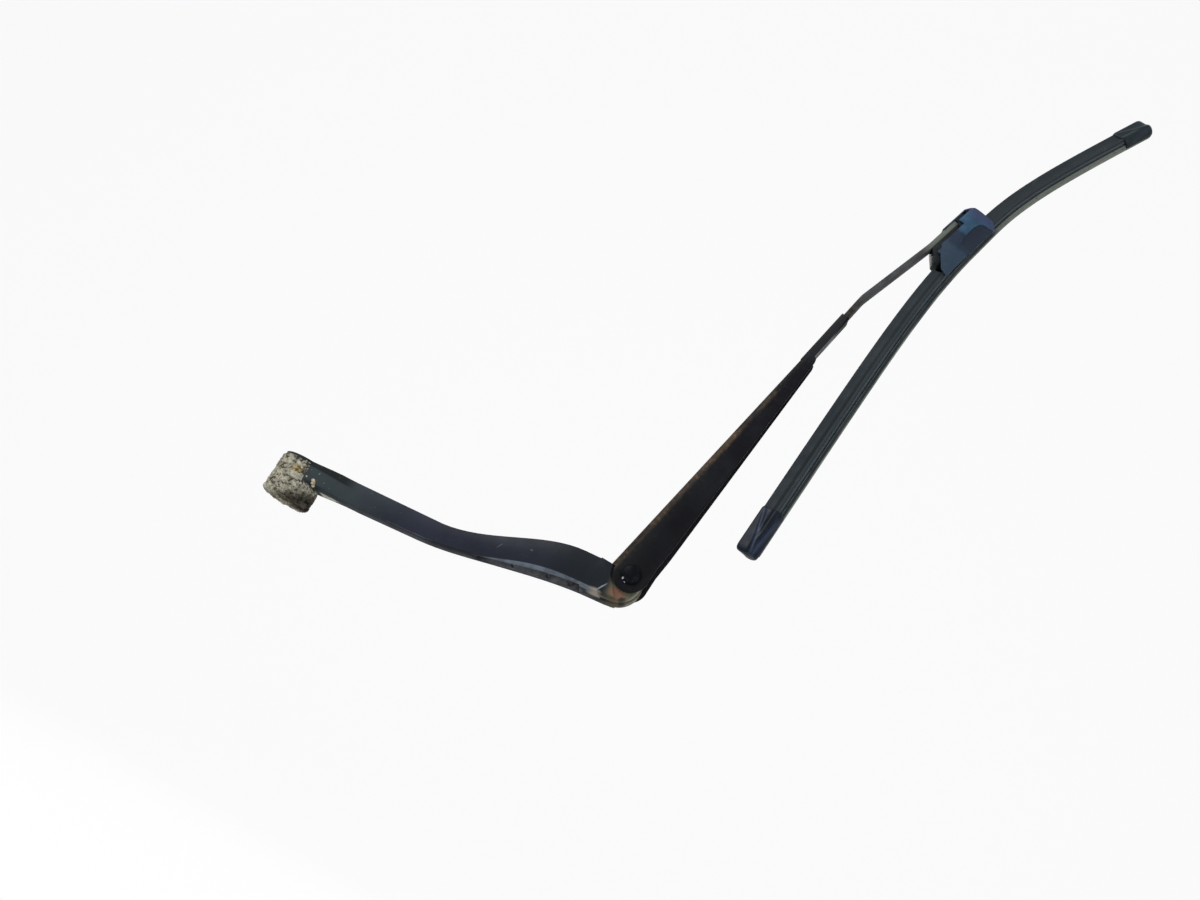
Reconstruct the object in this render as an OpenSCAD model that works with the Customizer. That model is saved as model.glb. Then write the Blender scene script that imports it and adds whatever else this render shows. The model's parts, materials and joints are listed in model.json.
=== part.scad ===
// Windscreen wiper arm with its flat blade, millimetres, in the pose of an arm folded up on its stop.
// The origin is on the spindle axis, inside the spindle bore. +Z points out of the car along the spindle,
// +X points from the spindle to the knuckle, and every hinge of the arm turns about an axis along Y.

/* [Head] */
// Distance along X from the spindle axis to the knuckle axis
head_reach = 238; // [225:1:250]
// Height of the knuckle axis over the origin
head_rise = 42.4; // [38:0.5:46]
// Diameter of the spindle boss
boss_d = 33; // [31:0.5:36]
// Depth of the boss below the origin
boss_drop = 14; // [13:0.5:15]
// Height of the boss over the origin
boss_top = 15.2; // [14.5:0.1:16]
// Height of the head's top face over the origin, beyond the boss
head_top_z = 17; // [16:0.5:18]
// Thickness of the beam where it leaves the boss
beam_t = 15; // [13:0.5:16]
// Thickness of the beam at the knuckle
beam_end_t = 21.4; // [20:0.5:23]
// Width of the beam at its narrowest
neck_w = 14.4; // [13:0.2:17]
// Length of the crank on the beam's top face
crank_len = 99; // [85:1:110]
// Distance from the knuckle axis back to the end of the crank
crank_back = 34; // [30:1:40]
// Side wall of the hollow underside
head_wall = 2.4; // [2:0.1:3]
// Top wall over the hollow underside
head_web = 3.2; // [2.5:0.1:4]
// Thickness of the cross ribs in the hollow
rib_t = 2; // [1.5:0.1:2.5]
// Places of the cross ribs, back from the knuckle axis
rib_back = [76, 52, 36];
// Height by which the ribs stay inside the wall's lower edge
rib_inset = 1.5; // [0.5:0.1:3]

/* [Spindle seat] */
// Diameter of the clearance hole for the spindle's thread
spindle_hole_d = 8.4; // [8.2:0.1:8.6]
// Height of the nut's seat over the origin
nut_seat_z = 8.5; // [7.5:0.5:10]
// Diameter of the well for the nut and its cap
nut_well_d = 22; // [20:0.5:24]
// Depth of the taper that grips the spindle's splines
taper_depth = 10; // [8:0.5:10]
// Mouth diameter of the taper
taper_mouth_d = 11.6; // [11:0.1:12]
// Inner diameter of the taper
taper_end_d = 10.2; // [9.6:0.1:10.6]

/* [Knuckle] */
// Angle between the arm and the X axis when the arm is on its lift stop
lift = 75.6; // [74:0.1:77]
// Diameter of the rivet's shank
rivet_d = 6.9; // [6.5:0.1:7.2]
// Diameter of the rivet's domed heads
rivet_head_d = 14; // [13:0.5:15]
// Height of the rivet's domed heads
rivet_head_h = 2.6; // [2:0.1:3]
// Wall of the plain bushes
bush_wall = 0.9; // [0.7:0.1:1.1]
// Thickness of the bush flanges
bush_flange_t = 0.7; // [0.5:0.1:0.7]
// Diameter of the bush flanges
bush_flange_d = 13; // [12:0.5:14]
// Radius of the lug's round nose
nose_r = 16.4; // [16:0.1:17]
// Distance of the nose's centre behind the knuckle axis
nose_back = 7; // [6.5:0.1:7.5]
// Distance of the nose's centre below the knuckle axis
nose_down = 3.3; // [3:0.1:3.6]

/* [Arm channel] */
// Length from the knuckle axis to the end of the side walls
channel_len = 213; // [205:1:220]
// Outer width at the knuckle
channel_w = 25; // [24.5:0.5:27]
// Outer width at the end of the side walls
channel_tip_w = 12.4; // [12:0.2:14]
// Height of the top face over the knuckle axis
channel_top = 15.1; // [14.8:0.1:16]
// Depth of the side walls below the knuckle axis
channel_drop = 9.5; // [9:0.1:10.5]
// Sheet thickness
sheet_t = 1.1; // [0.9:0.1:1.2]
// Radius of the side wall's round end about the knuckle
wall_end_r = 12.2; // [11.6:0.1:12.6]
// Outer radius along the two top edges
edge_r = 3.5; // [2.5:0.1:4]
// Distance that the top face reaches behind the knuckle axis
top_lap = 2; // [1:0.1:3]
// Length of the crimped ferrule
ferrule_len = 42; // [40:1:50]

/* [Rod] */
// Width of the flat bar
rod_w = 9; // [8.5:0.1:9.2]
// Thickness of the flat bar
rod_t = 4; // [3.6:0.1:4.2]
// Distance from the knuckle axis to the rod's first bend
bend_one_x = 277; // [272:1:290]
// Distance from the knuckle axis to the rod's second bend
bend_two_x = 347; // [335:1:352]
// Downward turn of the first bend
bend_one = 9.4; // [7:0.1:12]
// Turn back up at the second bend
bend_two = 4.5; // [2:0.1:6]
// Distance from the second bend to the centre of the hook
hook_reach = 32; // [28:0.5:34]
// Inner radius of the J hook
hook_r = 4.6; // [4.5:0.1:5]
// Length of the hook's return leg
hook_return = 14; // [12:0.5:15]
// Distance from the knuckle axis to the spring's anchor hole
anchor_x = 108; // [100:1:112]
// Height of the anchor hole over the knuckle axis
anchor_z = 5.5; // [5:0.1:6]

/* [Spring] */
// Distance from the knuckle axis to the spring pin
spring_pin_off = 8; // [7.9:0.1:8.2]
// Direction of the spring pin from the knuckle axis
spring_pin_dir = 225; // [223:1:227]
// Diameter of the spring pin
spring_pin_d = 4.4; // [4:0.1:4.6]
// Thickness of the spring hook
hook_t = 3.4; // [3:0.1:3.6]
// Distance from the spring pin to the hook's slot
hook_len = 27; // [26:0.5:28]
// Width of the strip that the hook is cut to
strip_w = 3.4; // [3:0.1:3.4]
// Wire of the spring
wire_d = 1.8; // [1.4:0.1:1.8]
// Mean radius of the coils
coil_r = 4.3; // [4:0.1:4.4]
// Number of whole turns in the coil
coil_turns = 24; // [18:1:26]
// Mean radius of the end loops
loop_r = 5; // [4.8:0.1:5.2]

/* [Adapter] */
// Diameter of the connector pin
pin_d = 4.8; // [4.4:0.1:5]
// Outer radius of the clip round the hook
clip_r = 10; // [9.8:0.1:10.2]
// Side wall of the clip
clip_wall = 1.5; // [1.2:0.1:1.5]
// Length of the clip behind the pin
clip_len = 42; // [40:0.5:43]
// Outer width of the cover
cover_w = 19; // [18.8:0.1:20]
// Wall of the cover
cover_t = 1.25; // [1.1:0.05:1.4]
// Outer radius of the cover's arch about the pin
arch_r = 15.2; // [15:0.1:16]
// Height of the cover's roof over the pin
roof_z = 9.8; // [9.7:0.1:11]
// Length of the roof behind the pin
roof_len = 14; // [10:0.5:18]
// Length of the cheeks behind the pin
cheek_len = 47.5; // [46:0.5:50]
// Depth of the cheeks below the pin
cheek_drop = 19; // [18.5:0.5:19.5]
// Depth of the flat panel let into each cheek
panel_t = 0.4; // [0.3:0.1:0.5]

/* [Blade] */
// Turn of the blade against the rod's end
blade_turn = 1.9; // [0:0.1:4]
// Reach of the blade's inner end from the pin
blade_in = 312; // [290:1:330]
// Reach of the blade's outer end from the pin
blade_out = 180; // [170:1:200]
// Depth of the spoiler's crest below the pin
crest_drop = 4.5; // [4.2:0.1:4.8]
// Slope that the inner end's curve runs out to
curve_in = 0.1745; // [0.1:0.005:0.2]
// Slope that the outer end's curve runs out to
curve_out = 0.28; // [0.15:0.005:0.3]
// Length over which the inner half bends
bend_in = 85; // [60:1:110]
// Length over which the outer half bends
bend_out = 67; // [50:1:80]
// Half length of the flat middle under the base
flat_half = 14; // [12:1:16]
// Depth from the spoiler's crest to the rails
rail_depth = 9; // [8.6:0.1:9.4]
// Thickness of the rails
rail_t = 1; // [0.8:0.1:1.1]
// Half width over both rails
rail_half = 4.7; // [4.5:0.1:4.9]
// Gap between the rails, for the rubber
rail_gap = 2.4; // [2.2:0.1:2.6]
// Depth from the crest to the lip's edge
blade_h = 16.5; // [16.2:0.1:17]
// Length of the inner end cap
cap_in_len = 36; // [30:1:42]
// Length of the outer end cap
cap_out_len = 26; // [20:1:32]

/* [Hidden] */
$fn = 64;

// Clearances
seat = 0.05;
run = 0.05;
pin_fit = 0.02;
side_gap = 0.3;
big = 400;

// Knuckle stack, measured from the mid plane
channel_half = channel_w / 2;
taper = atan((channel_w - channel_tip_w) / 2 / channel_len);
wall_in_half = channel_half - sheet_t;
lug_half = wall_in_half - bush_flange_t - 0.4;
slot_w = hook_t + 4 * side_gap;
bush_out_r = rivet_d / 2 + run + bush_wall;
lug_top_r = channel_top - sheet_t - 0.6;
rivet_seat = channel_half + wall_end_r * tan(taper) + run;
stop_gap = 0.4;
stop_dir = lift + atan2(channel_top, -top_lap) + stop_gap / channel_top * 180 / PI;
knuckle = [head_reach, head_rise];
nose_c = knuckle - [nose_back, nose_down];
spring_pin_c = knuckle + spring_pin_off * [cos(spring_pin_dir), sin(spring_pin_dir)];

// Beam of the head
crown = 0.012;
under_slope = 0.035;
under_start = 50;
under_len = 120;
under_back = 24;
knuckle_top = 1.7;
boss_end = 8;
boss_run = 26;
waist_run = 34;
waist_tuck = 2.5;
swell_back = 108;
swell_run = 76;
hollow_back = 100;
hollow_end = 27;
slot_back = 13;
recess_shift = [8, -6];
sweep_r = 80;

// Rod and its hook, in the arm's frame: X along the channel, Z out of its top face, knuckle at the origin
rod_z = channel_top - sheet_t - seat - rod_t / 2;
bend_r = 30;
tab_len = 4;
jog = 16;
jog_gap = 6;
tip_turn = bend_one - bend_two;
hook_mid_r = hook_r + rod_t / 2;
bend_one_p = [bend_one_x, rod_z];
bend_two_p = bend_one_p + (bend_two_x - bend_one_x) * [1, -tan(bend_one)];
hook_top_p = bend_two_p + hook_reach * [cos(tip_turn), -sin(tip_turn)];
pin_c = hook_top_p - hook_mid_r * [sin(tip_turn), cos(tip_turn)];

// Line of the spring, from the spring pin to the anchor hole, both in the arm's frame at rest
spring_pin_arm = spring_pin_off * [cos(spring_pin_dir - lift), sin(spring_pin_dir - lift)];
spring_line = [anchor_x, anchor_z] - spring_pin_arm;
spring_span = norm(spring_line);
spring_dir = atan2(spring_line[1], spring_line[0]);

// Blade
blade_dir = tip_turn - blade_turn;
rail_top = -crest_drop - rail_depth;
clip_half = rod_w / 2 + seat + clip_wall;
cover_half = cover_w / 2;
cover_in_half = cover_half - cover_t;
roof_t = 1;
ear_in = clip_half + 0.25;
ear_out = cover_in_half - 0.25;
spoiler_gap_out = arch_r + 0.9;
spoiler_gap_in = clip_len + 3;
spoiler_half = rail_half + 0.7;
leg_room = 0.6;
lap = 0.01;
cheek_top = 0.8;
cheek_nose_z = -13.5;
arch_wall = 1.6;
panel_edge = 1.5;
pad_len = 14;
pad_h = 7;
cap_wall_end = 3;
cap_reach = 0.4;
station = 12;

function smooth(t) = let (c = min(1, max(0, t))) c * c * (3 - 2 * c);
function polar(r, a) = [r * cos(a), r * sin(a)];
function arc(c, r, a0, a1, n) = [for (i = [0:n]) c + polar(r, a0 + (a1 - a0) * i / n)];
function lncosh(u) = ln((exp(u) + exp(-u)) / 2);
function tanh_of(u) = (exp(2 * u) - 1) / (exp(2 * u) + 1);
function reversed(list) = [for (i = [len(list) - 1:-1:0]) list[i]];
function mirrored(half) = concat(half, [for (p = reversed(half)) [-p[0], p[1]]]);

// Draws a profile of X and Z as a plate across Y
module across(w) {
    rotate([90, 0, 0])
        linear_extrude(w, center = true)
            children();
}

// Draws a profile of Y and Z along X, from 0 to l
module along(l) {
    rotate([90, 0, 90])
        linear_extrude(l)
            children();
}

// A round bar across Y
module cross_bar(c, r, w) {
    translate([c[0], 0, c[1]])
        rotate([90, 0, 0])
            cylinder(h = w, r = r, center = true);
}

// A ring of n points as quads between the points that face each other
function ladder(n) = [for (i = [0:n / 2 - 2]) [i, i + 1, n - 2 - i, n - 1 - i]];
function shifted(faces, d) = [for (f = faces) [for (i = f) i + d]];
function flipped(faces) = [for (f = faces) reversed(f)];

// A closed skin through a list of rings, each with the same number of points
module loft(rings, ends = []) {
    n = len(rings[0]);
    m = len(rings);
    points = [for (ring = rings) each ring];
    sides = [
        for (j = [0:m - 2], i = [0:n - 1])
            let (a = j * n + i, b = j * n + (i + 1) % n)
                each [[a, b + n, b], [a, a + n, b + n]]
    ];
    first = len(ends) > 0 ? ends : ladder(n);
    last = flipped(shifted(first, (m - 1) * n));
    polyhedron(points, concat(sides, first, last), convexity = 8);
}

module at_arm() {
    translate([head_reach, 0, head_rise])
        rotate([0, -lift, 0])
            children();
}

module at_adapter() {
    at_arm()
        translate([pin_c[0], 0, pin_c[1]])
            rotate([0, tip_turn, 0])
                children();
}

module at_blade() {
    at_arm()
        translate([pin_c[0], 0, pin_c[1]])
            rotate([0, blade_dir, 0])
                children();
}

// Top and lower edge of the beam, and its half width, at a distance x from the spindle
function top_z(x) =
    head_top_z + crown * x
    - (head_top_z - boss_top) * (1 - smooth((x - boss_end) / boss_run))
    + (head_rise + knuckle_top - head_top_z - crown * head_reach)
    * smooth((x - head_reach + crank_back + crank_len) / crank_len);
function under_z(x) =
    let (start = head_top_z - beam_t, ramp = under_slope * max(0, x - under_start))
    let (last = under_slope * (head_reach - under_start))
    start + ramp
    + (head_rise + knuckle_top - beam_end_t - start - last)
    * smooth((x - head_reach + under_back + under_len) / under_len);
function beam_half(x) =
    neck_w / 2
    + (boss_d / 2 - waist_tuck - neck_w / 2) * (1 - smooth((x - boss_end) / waist_run))
    + (channel_half - neck_w / 2) * smooth((x - head_reach + swell_back) / swell_run);

beam_step = 6;
beam_xs = [for (x = [0:beam_step:head_reach - nose_back]) x];

module beam_side() {
    upper = [for (x = beam_xs) [x, top_z(x)]];
    lower = [for (x = reversed(beam_xs)) [x, under_z(x)]];
    end = [head_reach, top_z(head_reach)];
    polygon(concat(upper, [end, [head_reach, head_rise], nose_c, nose_c - [0, nose_r]], lower));
    translate(nose_c)
        circle(nose_r);
}

module beam_plan() {
    xs = concat(beam_xs, [head_reach + nose_r]);
    polygon(concat([for (x = xs) [x, beam_half(x)]], [for (x = reversed(xs)) [x, -beam_half(x)]]));
}

// The space over the lug that the channel's top sweeps as the arm folds
module top_sweep() {
    difference() {
        translate(knuckle)
            polygon([[0, 0], polar(sweep_r, 85), polar(sweep_r, 130), polar(sweep_r, stop_dir)]);
        translate(knuckle)
            circle(lug_top_r);
    }
}

// The space beside the lug for the channel's walls
module wall_recess() {
    translate(knuckle)
        circle(lug_top_r + side_gap);
    translate(knuckle + recess_shift)
        circle(nose_r + side_gap);
}

module hollow() {
    from = head_reach - hollow_back;
    to = head_reach - hollow_end;
    xs = [for (x = [from:beam_step:to]) x];
    low = -boss_drop;
    intersection() {
        across(channel_w)
            polygon(concat(
                [for (x = xs) [x, top_z(x) - head_web]],
                [[xs[len(xs) - 1], low], [from, low]]
            ));
        linear_extrude(3 * head_rise, center = true)
            polygon(concat(
                [for (x = xs) [x, beam_half(x) - head_wall]],
                [for (x = reversed(xs)) [x, head_wall - beam_half(x)]]
            ));
    }
}

module ribs() {
    for (back = rib_back) {
        x = head_reach - back;
        low = under_z(x) + rib_inset;
        translate([x - rib_t / 2, -channel_half, low])
            cube([rib_t, channel_w, top_z(x) - low]);
    }
}

module head() {
    color("#2b2e30")
        difference() {
            union() {
                intersection() {
                    across(channel_w + boss_d)
                        beam_side();
                    linear_extrude(big, center = true)
                        beam_plan();
                }
                translate([0, 0, -boss_drop])
                    cylinder(h = boss_drop + boss_top, d = boss_d);
            }
            difference() {
                hollow();
                ribs();
            }
            across(big)
                top_sweep();
            for (side = [-1, 1])
                translate([0, side * (lug_half + big / 2), 0])
                    across(big)
                        wall_recess();
            translate([head_reach - slot_back, -slot_w / 2, 0])
                cube([big, slot_w, big]);
            cross_bar(knuckle, bush_out_r + pin_fit, big);
            cross_bar(spring_pin_c, spring_pin_d / 2 + pin_fit, big);
            cylinder(h = big, d = spindle_hole_d, center = true);
            translate([0, 0, nut_seat_z])
                cylinder(h = big, d = nut_well_d);
            translate([0, 0, -boss_drop])
                cylinder(h = taper_depth, d1 = taper_mouth_d, d2 = taper_end_d);
            translate([0, 0, -boss_drop - big])
                cylinder(h = big, d = taper_mouth_d);
        }
}

// One flanged bush; side is -1 for the near cheek and 1 for the far one
module bush(side) {
    color("#c9c2a8")
        translate([head_reach, 0, head_rise])
            rotate([-90 * side, 0, 0])
                difference() {
                    union() {
                        translate([0, 0, lug_half + pin_fit])
                            cylinder(h = bush_flange_t, d = bush_flange_d);
                        translate([0, 0, slot_w / 2])
                            cylinder(h = lug_half - slot_w / 2 + bush_flange_t / 2, r = bush_out_r);
                    }
                    cylinder(h = big, d = rivet_d + 2 * run);
                }
}

module bush_near() {
    bush(-1);
}

module bush_far() {
    bush(1);
}

// The rivet turns on the bushes; its heads stand just clear of the channel's walls
module pivot_rivet() {
    dome_r = (pow(rivet_head_d / 2, 2) + pow(rivet_head_h, 2)) / (2 * rivet_head_h);
    color("#3a3d40")
        translate([head_reach, 0, head_rise])
            rotate([90, 0, 0]) {
                cylinder(h = 2 * rivet_seat + 1, d = rivet_d, center = true);
                for (side = [0, 1])
                    mirror([0, 0, side])
                        translate([0, 0, rivet_seat])
                            intersection() {
                                cylinder(h = rivet_head_h + 1, d = rivet_head_d);
                                translate([0, 0, rivet_head_h - dome_r])
                                    sphere(dome_r);
                            }
            }
}

module spring_pin() {
    color("#8a8d90")
        cross_bar(spring_pin_c, spring_pin_d / 2, 2 * lug_half - 0.2);
}

// Half of the channel's section, from the outer face of one wall inwards
module channel_section(inset, r) {
    difference() {
        translate([inset, -big / 2])
            square([channel_w, big / 2 + channel_top - inset]);
        translate([inset, channel_top - inset - r])
            square([r, r]);
    }
    translate([inset + r, channel_top - inset - r])
        circle(r);
}

module channel_half_shell() {
    intersection() {
        translate([0, -channel_half, 0])
            rotate([0, 0, taper])
                translate([-2 * nose_r, 0, 0])
                    along(channel_len + 3 * nose_r)
                        difference() {
                            channel_section(0, edge_r);
                            channel_section(sheet_t, edge_r - sheet_t);
                        }
        translate([-big, -big, -big])
            cube([2 * big, big, 2 * big]);
    }
}

ferrule_bottom = rod_z - rod_t / 2 - seat - sheet_t;
wall_toe = 3.2;
wall_from = 30;
ferrule_lap = 8;
rod_cover = 70;

module channel_side() {
    circle(wall_end_r);
    polygon([
        [-top_lap, 0], [-top_lap, channel_top + 1], [channel_len, channel_top + 1],
        [channel_len, ferrule_bottom - wall_toe / 8],
        [channel_len - 1.4, ferrule_bottom - 3 * wall_toe / 4],
        [channel_len - 4, ferrule_bottom - wall_toe],
        [wall_from, -channel_drop], [wall_from / 2, -channel_drop - 0.6], [2, -wall_end_r + 0.2]
    ]);
}

module channel() {
    color("#1e1e20")
        at_arm()
            difference() {
                union() {
                    intersection() {
                        union() {
                            channel_half_shell();
                            mirror([0, 1, 0])
                                channel_half_shell();
                        }
                        across(2 * channel_w)
                            channel_side();
                    }
                    translate([channel_len - ferrule_lap, 0, 0])
                        along(ferrule_len + ferrule_lap)
                            ferrule_section();
                }
                rod_space();
                cross_bar([0, 0], rivet_d / 2 + run, big);
            }
}

module ferrule_section() {
    half = rod_w / 2 + seat + sheet_t;
    translate([-half, ferrule_bottom])
        square([2 * half, channel_top - ferrule_bottom]);
}

module rod_space() {
    translate([channel_len - rod_cover, -rod_w / 2 - seat, rod_z - rod_t / 2 - seat])
        cube([big, rod_w + 2 * seat, rod_t + 2 * seat]);
}

// A band of even thickness about a line of points
function band(line, half) =
    let (n = len(line))
    let (dirs = [for (i = [0:n - 1]) line[min(n - 1, i + 1)] - line[max(0, i - 1)]])
    let (normals = [for (d = dirs) [-d[1], d[0]] / norm(d)])
    concat(
        [for (i = [0:n - 1]) line[i] + half * normals[i]],
        [for (i = [n - 1:-1:0]) line[i] - half * normals[i]]
    );

rod_line = concat(
    [
        [anchor_x - tab_len, anchor_z], [anchor_x + jog_gap, anchor_z],
        [anchor_x + jog_gap + jog, rod_z]
    ],
    arc(bend_one_p + [-bend_r * tan(bend_one / 2), -bend_r], bend_r, 90, 90 - bend_one, 3),
    arc(
        bend_two_p - bend_r * tan(bend_two / 2) * [cos(bend_one), -sin(bend_one)]
        + bend_r * [sin(bend_one), cos(bend_one)],
        bend_r, -90 - bend_one, -90 - tip_turn, 3
    ),
    arc(pin_c, hook_mid_r, 90 - tip_turn, -90 - tip_turn, 16),
    [pin_c + polar(hook_mid_r, -90 - tip_turn) - polar(hook_return, -tip_turn)]
);

module arm_rod() {
    color("#4a4843")
        at_arm()
            difference() {
                across(rod_w)
                    polygon(band(rod_line, rod_t / 2));
                translate([anchor_x, 0, anchor_z])
                    cylinder(h = 4 * rod_t, d = 2 * wire_d, center = true);
            }
}

// The hook's belly passes under the knuckle's rivet, so the line of pull can cross the knuckle
belly_c = [6.9, -2.6];
belly_r = norm(belly_c);
belly_in_r = belly_r - strip_w / 2;
hook_slot = 3.4;
hook_end = 3.6;
hook_eye_wall = 2.6;

module spring_hook() {
    color("#6d6a64")
        at_arm()
            translate([spring_pin_arm[0], 0, spring_pin_arm[1]])
                rotate([0, -spring_dir, 0])
                    across(hook_t)
                        difference() {
                            union() {
                                circle(strip_w / 2 + hook_eye_wall);
                                difference() {
                                    translate(belly_c)
                                        circle(belly_r + strip_w / 2);
                                    translate(belly_c)
                                        circle(belly_in_r);
                                    translate([-20, 0])
                                        square([60, 20]);
                                    translate([0, -1])
                                        square([belly_c[0] + belly_in_r - 1, 20]);
                                }
                                translate([belly_c[0] + belly_in_r, -2])
                                    square([hook_len - belly_c[0] - belly_in_r, strip_w + 1]);
                                slot_outline(hook_end);
                            }
                            circle(spring_pin_d / 2 + run + pin_fit);
                            slot_outline(wire_d / 2 + 0.6);
                        }
}

// A slot outline for the spring's loop, exact, as two circles and a square
module slot_outline(r) {
    for (x = [hook_len - hook_slot / 2, hook_len + hook_slot / 2])
        translate([x, 0])
            circle(r);
    translate([hook_len - hook_slot / 2, -r])
        square([hook_slot, 2 * r]);
}

// The spring's wire: a loop across the hook, the coil, and a loop across the rod's tab
coil_from = hook_len + loop_r + sqrt(loop_r * loop_r - coil_r * coil_r);
coil_to = spring_span - loop_r - sqrt(loop_r * loop_r - coil_r * coil_r);
loop_open = asin(coil_r / loop_r);
coil_steps = 12;
coil_n = coil_turns * coil_steps + coil_steps / 4;
wire_line = concat(
    [
        for (i = [0:9])
            let (a = -loop_open + (2 * loop_open - 360) * i / 10)
                [hook_len + loop_r + loop_r * cos(a), loop_r * sin(a), 0]
    ],
    [
        for (i = [0:coil_n])
            let (a = 360 * i / coil_steps)
                [coil_from + (coil_to - coil_from) * i / coil_n, coil_r * cos(a), coil_r * sin(a)]
    ],
    [
        for (i = [1:10])
            let (a = 180 - loop_open + (2 * loop_open - 360) * i / 10)
                [spring_span - loop_r + loop_r * cos(a), 0, loop_r * sin(a)]
    ]
);

function unit(v) = v / norm(v);
function tangent(line, i) = unit(line[min(len(line) - 1, i + 1)] - line[max(0, i - 1)]);
function flattened(v, t) = unit(v - (v * t) * t);

module wire(line, r, sides) {
    tangents = [for (i = [0:len(line) - 1]) tangent(line, i)];
    normals = [
        for (i = 0, v = flattened([0, 0, 1], tangents[0]); i < len(line);
            i = i + 1, v = i < len(line) ? flattened(v, tangents[i]) : v) v
    ];
    loft([
        for (i = [0:len(line) - 1])
            let (u = normals[i], w = cross(tangents[i], u))
                [
                    for (k = [0:sides - 1])
                        let (a = 360 * k / sides) line[i] + r * (cos(a) * u + sin(a) * w)
                ]
    ]);
}

module tension_spring() {
    color("#77736a")
        at_arm()
            translate([spring_pin_arm[0], 0, spring_pin_arm[1]])
                rotate([0, -spring_dir, 0])
                    wire(wire_line, wire_d / 2, 6);
}

// The space that the rod and its hook take in the clip, seen from the side
module hook_space(c) {
    difference() {
        circle(hook_mid_r + rod_t / 2 + c);
        circle(hook_mid_r - rod_t / 2 - c);
        translate([-big, -big / 2])
            square([big, big]);
    }
    translate([-big, hook_r - c])
        square([big + lap, rod_t + 2 * c]);
    translate([-hook_return - leg_room, -hook_r - rod_t - c])
        square([hook_return + leg_room + lap, rod_t + 2 * c]);
}

module clip_side() {
    top = hook_r - 0.1;
    low = -clip_r + 0.2;
    back = -hook_return - 2;
    tail_low = -8.5;
    difference() {
        circle(clip_r);
        translate([-big, top])
            square([big - 2, big]);
        translate([-big, roof_z - roof_t - side_gap])
            square([2 * big, big]);
    }
    polygon([[back, low], [0, low], [0, top], [back, top]]);
    polygon([
        [-clip_len + 9, top], [-clip_len, -4], [-clip_len - 0.4, tail_low],
        [-hook_return, tail_low], [-hook_return, top]
    ]);
}

module adapter_clip() {
    color("#1b1f24")
        at_adapter()
            difference() {
                across(2 * clip_half)
                    clip_side();
                across(rod_w + 2 * seat)
                    hook_space(seat);
                cross_bar([0, 0], pin_d / 2 + run, big);
            }
}

module cheek_side() {
    polygon([
        [0, cheek_top], [-28, cheek_top], [-36, -4.5], [-cheek_len + 2, -13], [-cheek_len, -cheek_drop],
        [10, -cheek_drop], [arch_r - 0.6, cheek_nose_z], [arch_r, -4], [arch_r, 0], [8, cheek_top]
    ]);
}

module arch_side() {
    intersection() {
        circle(arch_r);
        translate([-2, 0])
            square([arch_r + 4, roof_z]);
    }
    translate([-roof_len, roof_z - roof_t])
        square([roof_len + 2, roof_t]);
}

module cover_void() {
    inner_r = arch_r - arch_wall;
    roof_in = roof_z - roof_t;
    intersection() {
        circle(inner_r);
        translate([-2.5, -0.1])
            square([big, roof_in + 0.1]);
    }
    translate([-big, -big])
        square([big + inner_r, big]);
    translate([-big, -0.1])
        square([big - 2, roof_in + 0.1]);
    translate([0, -big])
        square([big, big - crest_drop + 0.8]);
}

module adapter_cover() {
    color("#2c3846")
        at_adapter()
            union() {
                difference() {
                    intersection() {
                        across(cover_w) {
                            cheek_side();
                            arch_side();
                        }
                        translate([-big / 2, 0, 0])
                            along(big)
                                cover_section();
                    }
                    across(2 * cover_in_half)
                        cover_void();
                    for (side = [-1, 1])
                        translate([0, side * (cover_half - panel_t + 5), 0])
                            across(10)
                                cheek_panel();
                }
                for (side = [-1, 1])
                    translate([-35, side * (clip_half + seat + (cover_in_half - clip_half) / 2), -8])
                        cheek_pad();
            }
}

module cheek_pad() {
    depth = cover_in_half - clip_half;
    translate([0, -depth / 2, 0])
        cube([pad_len, depth, pad_h]);
}

module cheek_panel() {
    low = -cheek_drop + panel_edge;
    front = arch_r / 2 - 0.2;
    back = -18;
    polygon([[back, low], [back, -9], [-10, -7], [0, -6.6], [5, -8], [front, -11], [front, low]]);
}

// The cover seen from its end: straight cheeks with chamfered shoulders
module cover_section() {
    polygon(mirrored([
        [cover_half, -3 * cheek_drop], [cover_half, 4], [cover_half - 1.8, 6.6], [cover_half - 5.2, roof_z]
    ]));
}

ear_r = 6;
base_back = -7;
base_front = 14;
claw_drop = 2.2;
claw_lip = 0.8;
foot_t = 1.4;

module base_side() {
    circle(ear_r);
    polygon([
        [-ear_r, 0], [base_back, rail_top - claw_drop], [base_front, rail_top - claw_drop],
        [base_front - 1.5, rail_top + 1.9], [ear_r, 0]
    ]);
}

module connector_base() {
    claw = rail_half + seat;
    color("#15181b")
        at_blade()
            difference() {
                union() {
                    for (side = [-1, 1])
                        translate([0, side * (ear_in + ear_out) / 2, 0])
                            across(ear_out - ear_in)
                                base_side();
                    translate([base_back, -ear_out, rail_top - claw_drop])
                        cube([base_front - base_back, 2 * ear_out, claw_drop + foot_t + seat]);
                }
                translate([-big / 2, -claw, rail_top - rail_t - seat])
                    cube([big, 2 * claw, rail_t + 2 * seat]);
                translate([-big / 2, claw_lip - claw, rail_top - big])
                    cube([big, 2 * (claw - claw_lip), big]);
                cross_bar([0, 0], pin_d / 2 + pin_fit, big);
            }
}

module connector_pin() {
    color("#9a9da0")
        at_blade()
            cross_bar([0, 0], pin_d / 2, 2 * ear_out);
}

// The blade's crest line: flat over the base, then running out to a steady slope at each end
function curve(x) =
    let (u = max(0, abs(x) - flat_half))
    x < 0 ? curve_in * bend_in * lncosh(u / bend_in) : curve_out * bend_out * lncosh(u / bend_out);
function slope(x) =
    let (u = max(0, abs(x) - flat_half))
    x < 0 ? curve_in * tanh_of(u / bend_in) : -curve_out * tanh_of(u / bend_out);

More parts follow.
